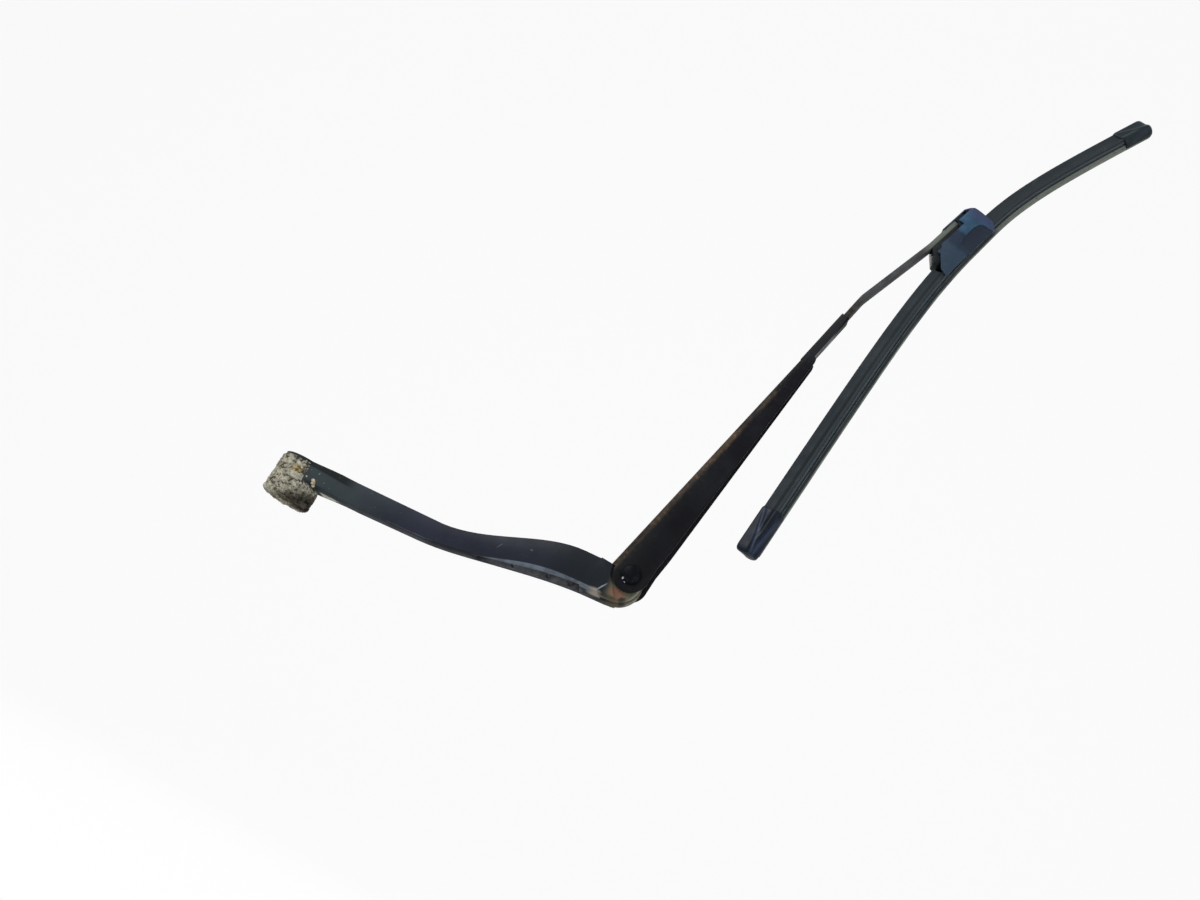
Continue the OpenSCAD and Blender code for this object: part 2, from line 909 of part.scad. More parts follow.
// A section of Y and depth, set square to the crest line at x and scaled about the rails
function ring(x, section, k = 1) =
    let (a = atan(slope(x)), z = -crest_drop - curve(x), mid = -rail_depth)
    [
        for (p = section)
            let (y = k * p[0], h = mid + k * (p[1] - mid))
                [x - h * sin(a), y, z + h * cos(a)]
    ];

function stations(from, to) =
    let (n = ceil((to - from) / station)) [for (i = [0:n]) from + (to - from) * i / n];

module blade_strip(section, xs, ends = []) {
    at_blade()
        loft([for (x = xs) ring(x, section)], ends);
}

rail_bottom = -rail_depth - rail_t;
spoiler_section = concat(
    mirrored([
        [rail_half - 0.8, rail_bottom - 0.7], [spoiler_half - 0.3, rail_bottom - 0.65],
        [spoiler_half, rail_bottom - 0.3], [spoiler_half, 0.8 - rail_depth],
        [2.8, -6], [1.5, -2.6], [0.8, 0]
    ]),
    reversed(mirrored([
        [rail_half - 0.7, rail_bottom - seat], [rail_half + seat, rail_bottom - seat],
        [rail_half + seat, seat - rail_depth]
    ]))
);
spoiler_ends = [
    [5, 6, 7, 8], [4, 5, 8, 9], [3, 4, 9, 10], [17, 3, 10, 16], [2, 3, 17, 18], [10, 11, 15, 16],
    [0, 1, 2, 18, 19], [11, 12, 13, 14, 15]
];
rubber_section = mirrored([
    [0.35, -blade_h], [0.6, -15.4], [2.4, -13.2], [0.8, -12.6], [0.8, -12], [3.6, -11.6],
    [3.6, rail_bottom - 0.15], [rail_gap / 2 - seat, rail_bottom - seat], [rail_gap / 2 - seat, -rail_depth]
]);
cap_section = mirrored([
    [0.9, -15.9], [2.8, -15.3], [5.2, -13.4], [6.3, -11.4], [6.3, -8.8], [4, -6], [2.6, -2.6], [1.6, 0.8]
]);
cap_void_section = mirrored([
    [0.9, -15.1], [2.6, -13.4], [3.8, -11.9], [spoiler_half + 0.1, rail_bottom - 0.9],
    [spoiler_half + 0.1, 0.9 - rail_depth], [2.95, -5.95], [1.65, -2.6], [0.95, 0.12]
]);

function rail_section(side) =
    let (a = side * rail_gap / 2, b = side * rail_half)
    let (lo = min(a, b), hi = max(a, b))
    [[lo, rail_bottom], [hi, rail_bottom], [hi, -rail_depth], [lo, -rail_depth]];

// Every strip of the blade is cut at the same stations, so their facets lie flat on each other
core_in = -blade_in + cap_wall_end + cap_reach;
core_out = blade_out - cap_wall_end - cap_reach;
inner_xs = stations(core_in, -spoiler_gap_in);
middle_xs = stations(-spoiler_gap_in, spoiler_gap_out);
outer_xs = stations(spoiler_gap_out, core_out);
core_xs = concat(
    inner_xs,
    [for (i = [1:len(middle_xs) - 1]) middle_xs[i]],
    [for (i = [1:len(outer_xs) - 1]) outer_xs[i]]
);

module spine_left() {
    color("#5b5d60")
        blade_strip(rail_section(1), core_xs);
}

module spine_right() {
    color("#5b5d60")
        blade_strip(rail_section(-1), core_xs);
}

module wiper_rubber() {
    color("#6f6c63")
        blade_strip(rubber_section, core_xs);
}

module spoiler_inner() {
    color("#30353a")
        blade_strip(spoiler_section, inner_xs, spoiler_ends);
}

module spoiler_outer() {
    color("#30353a")
        blade_strip(spoiler_section, outer_xs, spoiler_ends);
}

// A cap from its mouth to its tip: a sleeve that is open along its lower edge, then a solid end
module end_cap(mouth, tip) {
    dir = sign(tip - mouth);
    sleeve_steps = [
        [mouth, 0.96], [mouth + 2 * dir, 1], [(mouth + tip) / 2, 1], [tip - cap_wall_end * dir, 1]
    ];
    tip_steps = [[tip - cap_wall_end / 2 * dir, 0.94], [tip, 0.76]];
    o = len(cap_section);
    n = 2 * o;
    s = len(sleeve_steps);
    t = len(tip_steps);
    rings = concat(
        [
            for (e = sleeve_steps)
                concat(ring(e[0], cap_section, e[1]), reversed(ring(e[0], cap_void_section)))
        ],
        [for (e = tip_steps) ring(e[0], cap_section, e[1])]
    );
    last = (s - 1) * n;
    solid = s * n;
    sleeve = [
        for (j = [0:s - 2], i = [0:n - 1])
            let (a = j * n + i, b = j * n + (i + 1) % n)
                each [[a, b + n, b], [a, a + n, b + n]]
    ];
    shoulder = [
        for (i = [0:o - 1])
            let (k = (i + 1) % o)
                each [[last + i, solid + k, last + k], [last + i, solid + i, solid + k]]
    ];
    nose = [
        for (j = [0:t - 2], i = [0:o - 1])
            let (a = solid + j * o + i, b = solid + j * o + (i + 1) % o)
                each [[a, b + o, b], [a, a + o, b + o]]
    ];
    end_wall = concat([[last, last + n - 1, last + o, last + o - 1]], flipped(shifted(ladder(o), last + o)));
    tip_face = flipped(shifted(ladder(o), solid + (t - 1) * o));
    faces = concat(sleeve, shoulder, nose, ladder(n), end_wall, tip_face);
    at_blade()
        polyhedron([for (r = rings) each r], tip > mouth ? faces : flipped(faces), convexity = 8);
}

module end_cap_inner() {
    color("#242c36")
        end_cap(cap_in_len - blade_in, -blade_in);
}

module end_cap_outer() {
    color("#242c36")
        end_cap(blade_out - cap_out_len, blade_out);
}

head();
bush_near();
bush_far();
pivot_rivet();
spring_pin();
channel();
arm_rod();
spring_hook();
tension_spring();
adapter_clip();
adapter_cover();
connector_base();
connector_pin();
spine_left();
spine_right();
wiper_rubber();
spoiler_inner();
spoiler_outer();
end_cap_inner();
end_cap_outer();
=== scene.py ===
# %% [markdown]
# # Dressing a windscreen wiper arm
#
# The solids of the arm are already in place, in metres, in one shared frame. This lesson gives them
# the look of the real thing: a used arm off an old car, with soil caked round its head, rust along the
# pressed channel, a dusty bar and a weathered rubber blade. The arm stands folded up on its knuckle.
#
# The first cell loads the solids and keeps the box that they fill, so that nothing grows past it.

# %% Load the solids
import json
import math

import bpy
from mathutils import Matrix, Vector, noise


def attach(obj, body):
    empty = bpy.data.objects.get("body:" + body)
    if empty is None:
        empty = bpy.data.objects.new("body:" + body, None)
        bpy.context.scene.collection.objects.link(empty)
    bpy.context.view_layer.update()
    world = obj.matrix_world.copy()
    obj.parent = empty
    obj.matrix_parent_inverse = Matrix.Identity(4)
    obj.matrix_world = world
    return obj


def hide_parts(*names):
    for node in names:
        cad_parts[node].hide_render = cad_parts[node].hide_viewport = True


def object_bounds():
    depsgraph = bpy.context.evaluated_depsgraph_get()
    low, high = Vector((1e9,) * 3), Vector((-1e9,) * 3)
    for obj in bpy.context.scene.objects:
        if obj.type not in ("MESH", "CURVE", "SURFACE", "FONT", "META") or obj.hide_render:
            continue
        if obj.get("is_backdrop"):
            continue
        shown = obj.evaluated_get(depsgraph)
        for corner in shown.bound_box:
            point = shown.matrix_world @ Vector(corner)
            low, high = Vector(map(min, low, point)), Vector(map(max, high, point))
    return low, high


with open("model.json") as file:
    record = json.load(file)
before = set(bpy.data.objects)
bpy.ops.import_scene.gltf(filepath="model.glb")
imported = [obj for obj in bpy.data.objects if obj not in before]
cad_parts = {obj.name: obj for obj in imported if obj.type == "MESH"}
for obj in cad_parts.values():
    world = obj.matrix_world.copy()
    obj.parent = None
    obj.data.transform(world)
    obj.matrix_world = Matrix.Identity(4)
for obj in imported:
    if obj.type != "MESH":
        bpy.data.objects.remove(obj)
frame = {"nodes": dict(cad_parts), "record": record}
cad_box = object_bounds()
bpy.ops.object.select_all(action="DESELECT")
joint_at = {j["name"]: Vector(j["pos_m"]) for j in frame["record"]["behaviour"]["joints"]}
print("solids:", len(frame["nodes"]), "joints:", list(joint_at))

# %% [markdown]
# ## Frames to model in
#
# The channel leans at 75.6 degrees, the adapter at 70.7 and the blade at 72.6. A piece that leans is
# easiest to model lying flat along X, in its own frame, and to lay into place at the end. So each of
# these three gets a matrix, and a small function applies it, which leaves the object at the origin.

# %% Frames
MM = 0.001
CHANNEL_LEAN, ADAPTER_LEAN, BLADE_LEAN = 75.6, 70.7, 72.6
knuckle = joint_at["knuckle"]
pin = joint_at["blade_pivot"]


def leaning(origin, degrees):
    """The frame of a piece that lies along a line, which climbs from its origin by some degrees."""
    return Matrix.Translation(origin) @ Matrix.Rotation(math.radians(-degrees), 4, "Y")


HEAD = Matrix.Identity(4)
CHANNEL = leaning(knuckle, CHANNEL_LEAN)
ADAPTER = leaning(pin, ADAPTER_LEAN)
BLADE = leaning(pin, BLADE_LEAN)
print("knuckle", tuple(round(v, 4) for v in knuckle), "pin", tuple(round(v, 4) for v in pin))

# %% [markdown]
# ## The camera
#
# The picture was taken from a little below the head, square to the arm's side but tipped by 23 degrees,
# with the frame rolled by 27 degrees. A camera can be placed by its angles, but three directions are easier
# to check: what is right, what is up and where it looks. It is made first, because every later look at the
# model is judged through it.

# %% Camera
TILT = math.radians(23)
ROLL = math.radians(27)
DISTANCE = 0.807
AIM_RIGHT, AIM_UP = 0.2108, 0.0245
SENSOR_MM = 36
FOCAL_PX, PICTURE_PX = 1150, 1200
image_right = Vector((math.cos(ROLL), 0, math.sin(ROLL)))
image_up_flat = Vector((-math.sin(ROLL), 0, math.cos(ROLL)))
towards_us = Vector((0, -1, 0))
looking = image_up_flat * math.sin(TILT) - towards_us * math.cos(TILT)
image_up = image_up_flat * math.cos(TILT) + towards_us * math.sin(TILT)
centre = image_right * AIM_RIGHT + image_up_flat * AIM_UP
camera = bpy.data.objects.new("camera", bpy.data.cameras.new("camera"))
bpy.context.collection.objects.link(camera)
turn = Matrix((image_right, image_up, -looking)).transposed().to_4x4()
camera.matrix_world = Matrix.Translation(centre - looking * DISTANCE) @ turn
camera.data.sensor_width = SENSOR_MM
camera.data.lens = SENSOR_MM * FOCAL_PX / PICTURE_PX
camera.data.clip_start = 0.01
camera.data.dof.use_dof = False
bpy.context.scene.camera = camera
print("camera at", tuple(round(v, 3) for v in camera.location))

# %% [markdown]
# ## Backdrop and light
#
# The arm is looked at from below, so the floor lies well under it and sweeps up into a wall behind it,
# which leaves no horizon line. The world shows plain white to the camera, in glossy surfaces and through
# glass, while it lights the arm at a moderate level. The sweep shows mostly white too, and the rest of its
# shader still takes the arm's shadow. Large soft lamps do the shaping, the key from over the left shoulder.

# %% White for the eye only
def white_to_the_eye(tree, lit, share, plain_kind, socket):
    """Shows a share of plain white to camera, glossy and transmission rays, and the lit shader to others."""
    nodes, links = tree.nodes, tree.links
    path = nodes.new("ShaderNodeLightPath")
    seen = nodes.new("ShaderNodeMath")
    seen.operation = "ADD"
    also = nodes.new("ShaderNodeMath")
    also.operation = "ADD"
    also.use_clamp = True
    links.new(path.outputs["Is Camera Ray"], seen.inputs[0])
    links.new(path.outputs["Is Glossy Ray"], seen.inputs[1])
    links.new(seen.outputs[0], also.inputs[0])
    links.new(path.outputs["Is Transmission Ray"], also.inputs[1])
    part = nodes.new("ShaderNodeMath")
    part.operation = "MULTIPLY"
    part.inputs[1].default_value = share
    links.new(also.outputs[0], part.inputs[0])
    plain = nodes.new(plain_kind)
    plain.inputs["Color"].default_value = (1, 1, 1, 1)
    plain.inputs["Strength"].default_value = 1
    mixed = nodes.new("ShaderNodeMixShader")
    links.new(part.outputs[0], mixed.inputs[0])
    links.new(lit, mixed.inputs[1])
    links.new(plain.outputs[0], mixed.inputs[2])
    links.new(mixed.outputs[0], socket)


# %% World
WORLD_STRENGTH = 0.5
COOL_WHITE = (0.93, 0.96, 1.0)
bpy.context.scene.view_settings.view_transform = "Standard"
world = bpy.data.worlds.new("studio")
world.use_nodes = True
bpy.context.scene.world = world
world.node_tree.nodes.clear()
glow = world.node_tree.nodes.new("ShaderNodeBackground")
glow.inputs["Color"].default_value = (*COOL_WHITE, 1)
glow.inputs["Strength"].default_value = WORLD_STRENGTH
world_out = world.node_tree.nodes.new("ShaderNodeOutputWorld")
white_to_the_eye(world.node_tree, glow.outputs[0], 1, "ShaderNodeBackground", world_out.inputs["Surface"])
print("world lights at", WORLD_STRENGTH)

# %% [markdown]
# The sweep is a plane whose far edge is extruded upwards. A wide bevel on the fold makes the round part.

# %% Backdrop
FLOOR_SIZE, FLOOR_AT = 8, (0.2, -1.4, -0.3)
WALL_H, FOLD_WIDTH, FOLD_STEPS = 5, 0.8, 12
PAPER_GREY, WHITE_SHARE = 0.86, 0.9
bpy.ops.mesh.primitive_plane_add(size=FLOOR_SIZE, location=FLOOR_AT)
sweep = bpy.context.object
sweep.name = "backdrop"
bpy.ops.object.mode_set(mode="EDIT")
bpy.ops.mesh.select_mode(type="EDGE")
bpy.ops.mesh.select_all(action="DESELECT")
bpy.ops.object.mode_set(mode="OBJECT")
for edge in sweep.data.edges:
    edge.select = all(sweep.data.vertices[i].co.y > 0 for i in edge.vertices)
bpy.ops.object.mode_set(mode="EDIT")
bpy.ops.mesh.extrude_region_move(TRANSFORM_OT_translate={"value": (0, 0, WALL_H)})
bpy.ops.object.mode_set(mode="OBJECT")
fold = sweep.modifiers.new("fold", "BEVEL")
fold.width = FOLD_WIDTH
fold.segments = FOLD_STEPS
fold.affect = "EDGES"
bpy.ops.object.modifier_apply(modifier="fold")
bpy.ops.object.shade_smooth()
paper = bpy.data.materials.new("pale_paper")
paper.use_nodes = True
paper_skin = paper.node_tree.nodes["Principled BSDF"]
paper_skin.inputs["Base Color"].default_value = (PAPER_GREY, PAPER_GREY, PAPER_GREY, 1)
paper_skin.inputs["Roughness"].default_value = 0.9
paper_out = paper.node_tree.nodes["Material Output"]
paper_end = paper_out.inputs["Surface"]
white_to_the_eye(paper.node_tree, paper_skin.outputs[0], WHITE_SHARE, "ShaderNodeEmission", paper_end)
sweep.data.materials.append(paper)
sweep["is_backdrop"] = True
print("backdrop:", len(sweep.data.polygons), "faces")

# %% [markdown]
# Three round area lamps light the arm: the key from the upper left, a cool fill from the right, and one
# behind that draws a thin edge along the top.

# %% Lamps
def lamp(name, place, aim, size, watts, colour=(1, 1, 1)):
    data = bpy.data.lights.new(name, "AREA")
    data.shape = "DISK"
    data.size = size
    data.energy = watts
    data.color = colour
    obj = bpy.data.objects.new(name, data)
    bpy.context.collection.objects.link(obj)
    obj.location = place
    obj.rotation_euler = (Vector(aim) - Vector(place)).to_track_quat("-Z", "Y").to_euler()
    return obj


middle = Vector((0.28, 0, 0.25))
lamp("key", (-0.9, -1.1, 1.1), middle, 1.0, 26)
lamp("fill", (1.0, -1.3, 0.1), middle, 1.2, 9, COOL_WHITE)
lamp("back", (0.0, 1.3, 1.3), middle, 1.0, 12)
bpy.ops.object.select_all(action="DESELECT")
print("stage is set")

# %% [markdown]
# ## Handwork tools
#
# Most pieces are made the same way: a primitive is put down with as many corners as the section needs,
# its corners are set on the section's outline, and the face is then extruded and turned from one station to
# the next, or the outline is spun. These few helpers do the selecting and the finishing, so that each
# piece's own cell only says what is special about it.

# %% Tools for modelling
def only(obj):
    """Selects one piece and nothing else, in object mode."""
    if bpy.context.object and bpy.context.object.mode != "OBJECT":
        bpy.ops.object.mode_set(mode="OBJECT")
    bpy.ops.object.select_all(action="DESELECT")
    obj.select_set(True)
    bpy.context.view_layer.objects.active = obj


def outline(name, points):
    """A flat face in the edit-ready state, with one corner on each point, given in millimetres."""
    bpy.ops.mesh.primitive_circle_add(vertices=len(points), radius=0.01, fill_type="NGON")
    obj = bpy.context.object
    obj.name = obj.data.name = name
    for corner, point in zip(obj.data.vertices, points):
        corner.co = Vector(point) * MM
    bpy.ops.object.mode_set(mode="EDIT")
    bpy.ops.mesh.select_mode(type="FACE")
    bpy.ops.mesh.select_all(action="SELECT")
    return obj


def push(vector):
    """Extrudes the selected face by a vector in millimetres."""
    bpy.ops.mesh.extrude_region_move(TRANSFORM_OT_translate={"value": Vector(vector) * MM})


def swing(degrees, about):
    """Turns the selection about Y, positive from X to Z, with its centre given in millimetres."""
    bpy.ops.transform.rotate(value=math.radians(degrees), orient_axis="Y", center_override=Vector(about) * MM)


def closed():
    """Ends the edit: merges points less than a hundredth of a millimetre apart and turns faces outwards."""
    bpy.ops.mesh.select_all(action="SELECT")
    bpy.ops.mesh.remove_doubles(threshold=0.01 * MM)
    bpy.ops.mesh.normals_make_consistent(inside=False)
    bpy.ops.object.mode_set(mode="OBJECT")


def modify(obj, kind, **settings):
    """Adds a modifier, sets it and applies it."""
    only(obj)
    modifier = obj.modifiers.new(kind.lower(), kind)
    for key, value in settings.items():
        setattr(modifier, key, value)
    bpy.ops.object.modifier_apply(modifier=modifier.name)


def smooth(obj, degrees):
    """Shades a piece smooth except across edges sharper than some degrees."""
    only(obj)
    bpy.ops.object.shade_smooth_by_angle(angle=math.radians(degrees))


def lay(obj, where):
    """Puts a piece into place and leaves its object at the origin, with the place in its mesh."""
    only(obj)
    obj.matrix_world = where
    bpy.ops.object.transform_apply(location=True, rotation=True, scale=True)


def finish(obj, body, slot, material, *solids):
    """Gives a piece its material and the body it moves with, and hides the solids it stands for. The slot is
    not used.
    """
    obj.data.materials.clear()
    obj.data.materials.append(material)
    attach(obj, body)
    if solids:
        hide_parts(*solids)
    print(obj.name, len(obj.data.polygons), "faces")


# %% [markdown]
# ## Tools for finishes
#
# A finish is a tree of nodes. Each one starts from the same few things: the place of a point in
# millimetres, in the frame of the piece it is on, some noise at a real size, and a smooth step that turns
# either into a mask. The masks are multiplied, and each one lays a colour over the coat made so far.
# Colours are written as they look on a screen and turned into light by one function.

# %% Tools for materials
def shade(text):
    """A screen colour such as 8a5a30 as linear light."""
    parts = [int(text[i : i + 2], 16) / 255 for i in (0, 2, 4)]
    return tuple(((c + 0.055) / 1.055) ** 2.4 if c > 0.04045 else c / 12.92 for c in parts) + (1,)


class Finish:
    """A material under construction: it makes nodes, joins them and keeps the colour laid on so far."""

    def __init__(self, name, where=HEAD):
        self.material = bpy.data.materials.new(name)
        self.material.use_nodes = True
        self.tree = self.material.node_tree
        self.skin = self.tree.nodes["Principled BSDF"]
        self.coat = None
        place = self.tree.nodes.new("ShaderNodeTexCoord")
        back = where.inverted()
        mapping = self.tree.nodes.new("ShaderNodeMapping")
        mapping.inputs["Scale"].default_value = (1 / MM, 1 / MM, 1 / MM)
        mapping.inputs["Rotation"].default_value = back.to_euler()
        mapping.inputs["Location"].default_value = back.to_translation() / MM
        self.link(place.outputs["Object"], mapping.inputs["Vector"])
        self.place = mapping.outputs["Vector"]
        self.x, self.y, self.z = self.parts(self.place)
        self.facing_up = self.parts(place.outputs["Normal"])[2]

    def link(self, start, end):
        self.tree.links.new(start, end)

    def feed(self, socket, value):
        """Puts a screen colour, a number or another node's output into a socket."""
        if isinstance(value, str):
            socket.default_value = shade(value)
        elif isinstance(value, (int, float)):
            socket.default_value = value
        else:
            self.link(value, socket)

    def parts(self, vector):
        split = self.tree.nodes.new("ShaderNodeSeparateXYZ")
        self.link(vector, split.inputs[0])
        return split.outputs

    def layer(self, name):
        """The two values that a piece carries in a UV layer."""
        node = self.tree.nodes.new("ShaderNodeUVMap")
        node.uv_map = name
        return self.parts(node.outputs[0])[:2]

    def raw(self, kind, a, b, clamp=False):
        """One step of arithmetic, named as the Math node names it."""
        node = self.tree.nodes.new("ShaderNodeMath")
        node.operation = kind
        node.use_clamp = clamp
        self.feed(node.inputs[0], a)
        self.feed(node.inputs[1], b)
        return node.outputs[0]

    def times(self, *masks):
        """The place where all of the masks meet."""
        result = masks[0]
        for mask in masks[1:]:
            result = self.raw("MULTIPLY", result, mask, clamp=True)
        return result

    def either(self, a, b):
        return self.raw("MAXIMUM", a, b)

    def span(self, value, low, high, out_low=0.0, out_high=1.0):
        """A smooth step from out_low to out_high as the value goes from low to high."""
        node = self.tree.nodes.new("ShaderNodeMapRange")
        node.interpolation_type = "SMOOTHSTEP"
        for key, number in (("From Min", low), ("From Max", high), ("To Min", out_low), ("To Max", out_high)):
            node.inputs[key].default_value = number
        self.link(value, node.inputs["Value"])
        return node.outputs["Result"]

    def noise(self, size, detail=4, stretch=(1, 1, 1), rough=0.55):
        """Noise whose lumps are about size millimetres across."""
        node = self.tree.nodes.new("ShaderNodeTexNoise")
        node.inputs["Scale"].default_value = 1 / size
        node.inputs["Detail"].default_value = detail
        node.inputs["Roughness"].default_value = rough
        spot = self.tree.nodes.new("ShaderNodeMapping")
        spot.inputs["Scale"].default_value = stretch
        self.link(self.place, spot.inputs["Vector"])
        self.link(spot.outputs["Vector"], node.inputs["Vector"])
        return node.outputs[0]

    def grit(self, size):
        """How far a point is from the nearest of many grains, which are about size millimetres apart."""
        node = self.tree.nodes.new("ShaderNodeTexVoronoi")
        node.inputs["Scale"].default_value = 1 / size
        self.link(self.place, node.inputs["Vector"])
        return node.outputs["Distance"]

    def blob(self, x, z, half_x, half_z, ragged=2.5, soft=0.8, turn=0):
        """A mask that is 1 inside an ellipse in the side view and fades over its edge, which noise tears."""
        out_x, out_z = self.raw("SUBTRACT", self.x, x), self.raw("SUBTRACT", self.z, z)
        if turn:
            c, d = math.cos(math.radians(turn)), math.sin(math.radians(turn))
            along = self.raw("ADD", self.raw("MULTIPLY", out_x, c), self.raw("MULTIPLY", out_z, d))
            out_z = self.raw("SUBTRACT", self.raw("MULTIPLY", out_z, c), self.raw("MULTIPLY", out_x, d))
            out_x = along
        far_x, far_z = self.raw("DIVIDE", out_x, half_x), self.raw("DIVIDE", out_z, half_z)
        far = self.raw("ADD", self.raw("MULTIPLY", far_x, far_x), self.raw("MULTIPLY", far_z, far_z))
        torn = self.raw("ADD", far, self.raw("SUBTRACT", self.noise(ragged, 4), 0.5))
        return self.span(torn, 0.9 + soft / 2, 0.9 - soft / 2)

    def blend(self, factor, a, b):
        node = self.tree.nodes.new("ShaderNodeMix")
        node.data_type = "RGBA"
        for socket, value in zip((node.inputs[0], node.inputs[6], node.inputs[7]), (factor, a, b)):
            self.feed(socket, value)
        return node.outputs[2]

    def base(self, mask, colour, other):
        """Starts the coat with two colours."""
        self.coat = self.blend(mask, colour, other)

    def tint(self, mask, colour):
        """Lays a colour over the coat where the mask says."""
        self.coat = self.blend(mask, self.coat, colour)

    def done(self, rough=0.5, metal=0.0, bump=(), specular=0.08):
        """Joins the coat and the other values to the skin. Each bump is a height and its depth in mm."""
        self.feed(self.skin.inputs["Base Color"], self.coat)
        self.feed(self.skin.inputs["Roughness"], rough)
        self.feed(self.skin.inputs["Metallic"], metal)
        self.feed(self.skin.inputs["Specular IOR Level"], specular)
        normal = self.skin.inputs["Normal"]
        for height, depth in reversed(bump):
            node = self.tree.nodes.new("ShaderNodeBump")
            node.inputs["Strength"].default_value = 1
            node.inputs["Distance"].default_value = depth * MM
            self.link(height, node.inputs["Height"])
            self.link(node.outputs[0], normal)
            normal = node.inputs["Normal"]
        return self.material


print("tools for finishes ready")

# %% [markdown]
# ## The head's paint
#
# The head is die cast and painted near black. Its finish could be painted on an image, but masks made from
# the place on the piece stay sharp at any distance and need no file. The coat is built up in layers: the
# paint first, mottled a little, then thin layers of dirt, wear and painted light and shade. Near the boss a
# film of dried mud, partly a painted sheen, greys it. Places are in millimetres from the spindle: X along
# the arm, Y away from us, Z along the spindle.

# %% Head paint
made = Finish("head_paint")
made.base(made.span(made.noise(30, 4), 0.35, 0.7), "1c1f28", "232630")
made.tint(made.span(made.x, 160, 200), "161a1f")
# A grey-green film near the boss: partly dried mud, partly a painted sheen.
film = made.times(made.span(made.x, 96, 20), made.span(made.noise(14, 5), 0.2, 0.8, 0.5, 1.0))
made.tint(film, "2f3738")
print("paint and film of mud")

# %% [markdown]
# The lug shows under the channel. It is khaki with old grease, with one patch of rust beside the hinge,
# painted shade on its lower part below the rust, and a painted shadow in the gap under the channel's end.

# %% Grease, rust and painted shade on the lug
lug = made.times(made.span(made.x, 225, 233), made.span(made.z, 46, 38))
grease = made.times(lug, made.span(made.noise(6, 5), 0.2, 0.6, 0.55, 1.0))
made.tint(grease, "545140")
rust = made.times(made.blob(235, 27.5, 5.5, 4.5, 3, 1.6), made.span(made.y, 4, 0, 0, 0.8))
made.tint(rust, "6b4c3d")
# Painted shade on the lug's lower part, below the rust.
shade_below_rust = made.blob(241, 24.4, 3.4, 2.4, 2, 1.2)
made.tint(made.times(shade_below_rust, 0.9), "24221b")
# A painted shadow in the gap under the channel's end.
channel_gap_shadow = made.blob(229, 43.5, 2.6, 3)
made.tint(made.times(channel_gap_shadow, 0.9), "0a0c09")
print("lug dirt")

# %% [markdown]
# The beam is hollow underneath. Dust lies on the inner face of its far wall, which a look from below shows,
# and a pale smear marks the place where the hollow ends. The top of the boss and the faces that look
# straight down are painted darker, as shade.

# %% Dust in the hollow
far_wall = made.raw("SUBTRACT", made.y, made.span(made.x, 140, 204, 6.4, 11.2))
dusty = made.times(
    made.span(made.x, 136, 150), made.span(made.x, 214, 208), made.span(made.y, -4, 0),
    made.span(far_wall, 0, -0.4), made.span(made.z, 40, 30), made.span(made.noise(7, 6), 0.3, 0.7, 0.4, 1.0),
)
made.tint(dusty, "5e5f62")
smear = made.times(
    made.blob(221, 21, 5.5, 2.8, 4, 1.7), made.span(made.y, 4, -2),
    made.span(made.noise(5, 6), 0.25, 0.55, 0.4, 0.85),
)
made.tint(smear, "90867a")
# Painted shade along the top of the boss.
boss_top_shade = made.times(made.span(made.z, 11.4, 12.6), made.span(made.x, 44, 32))
made.tint(boss_top_shade, "171a1b")
facing_down = made.span(made.facing_up, -0.6, -0.9)
# Painted shade on the faces that look down, along the hollow stretch of the beam.
made.tint(made.times(facing_down, made.span(made.x, 214, 200), made.span(made.x, 80, 130)), "14171c")
print("dust and smear")

# %% [markdown]
# Paint wears first where the casting is sharp. The beam's lower edge is a line in the side view: level at
# first, then up over the crank and level again. A mask along that line gives the pale edge, partly rubbed
# paint and partly a painted highlight. The long scratch and two small ones are narrow ellipses, turned to
# the way in which they run. The sloped faces along the top and the foot of the lug are painted darker, as
# shade.

# %% Worn and highlighted edge, scratches and painted shade
CRANK_FROM, CRANK_TO, CRANK_RISE = 94, 214, 14.1
climb = made.span(made.x, CRANK_FROM, CRANK_TO)
eased = made.raw("SUBTRACT", 3, made.raw("MULTIPLY", climb, 2))
climb = made.raw("MULTIPLY", made.raw("MULTIPLY", climb, climb), eased)
climb = made.raw("MULTIPLY", climb, CRANK_RISE)
lower_edge = made.raw("ADD", made.span(made.x, 50, 238, 2, 8.6), climb)
above_edge = made.raw("SUBTRACT", made.z, lower_edge)
# The pale lower edge: partly rubbed paint, partly a painted highlight.
rubbed_edge_and_highlight = made.times(
    made.span(above_edge, 1.1, 0.5), made.span(made.y, -5, -7),
    made.span(made.x, 60, 110), made.span(made.x, 224, 216), made.span(made.noise(9, 5), 0.3, 0.6, 0.35, 0.9),
)
made.tint(rubbed_edge_and_highlight, "586069")
long_scratch = made.blob(224.3, 26.5, 4.4, 0.5, 1.6, 0.8, turn=57)
made.tint(made.times(long_scratch, made.span(made.y, -8, -10)), "70767c")
nicks = made.either(made.blob(150, 22.0, 2.6, 0.3, 1.2, turn=60), made.blob(171, 28.3, 1.2, 0.5, 1.2))
made.tint(made.times(nicks, 0.6), "50555e")
# Painted shade on the sloped faces along the top of the beam.
upper_edge_shade = made.times(
    made.span(made.facing_up, 0.1, 0.4), made.span(made.facing_up, 0.97, 0.8), 0.8, made.span(made.x, 60, 100)
)
made.tint(upper_edge_shade, "0b0d10")
# Painted shade at the foot of the lug, darker towards the bottom.
lug_foot_shade = made.times(
    made.span(made.x, 222, 229), made.span(made.z, 25, 21.5), made.span(made.noise(5, 5), 0.2, 0.6, 0.5, 0.95)
)
made.tint(lug_foot_shade, "26241c")
print("wear")

# %% [markdown]
# Last come the crumbs of soil under the beam beside the boss, the mud that fills the bottom of the bore, and
# specks all over, most of them near the soil.

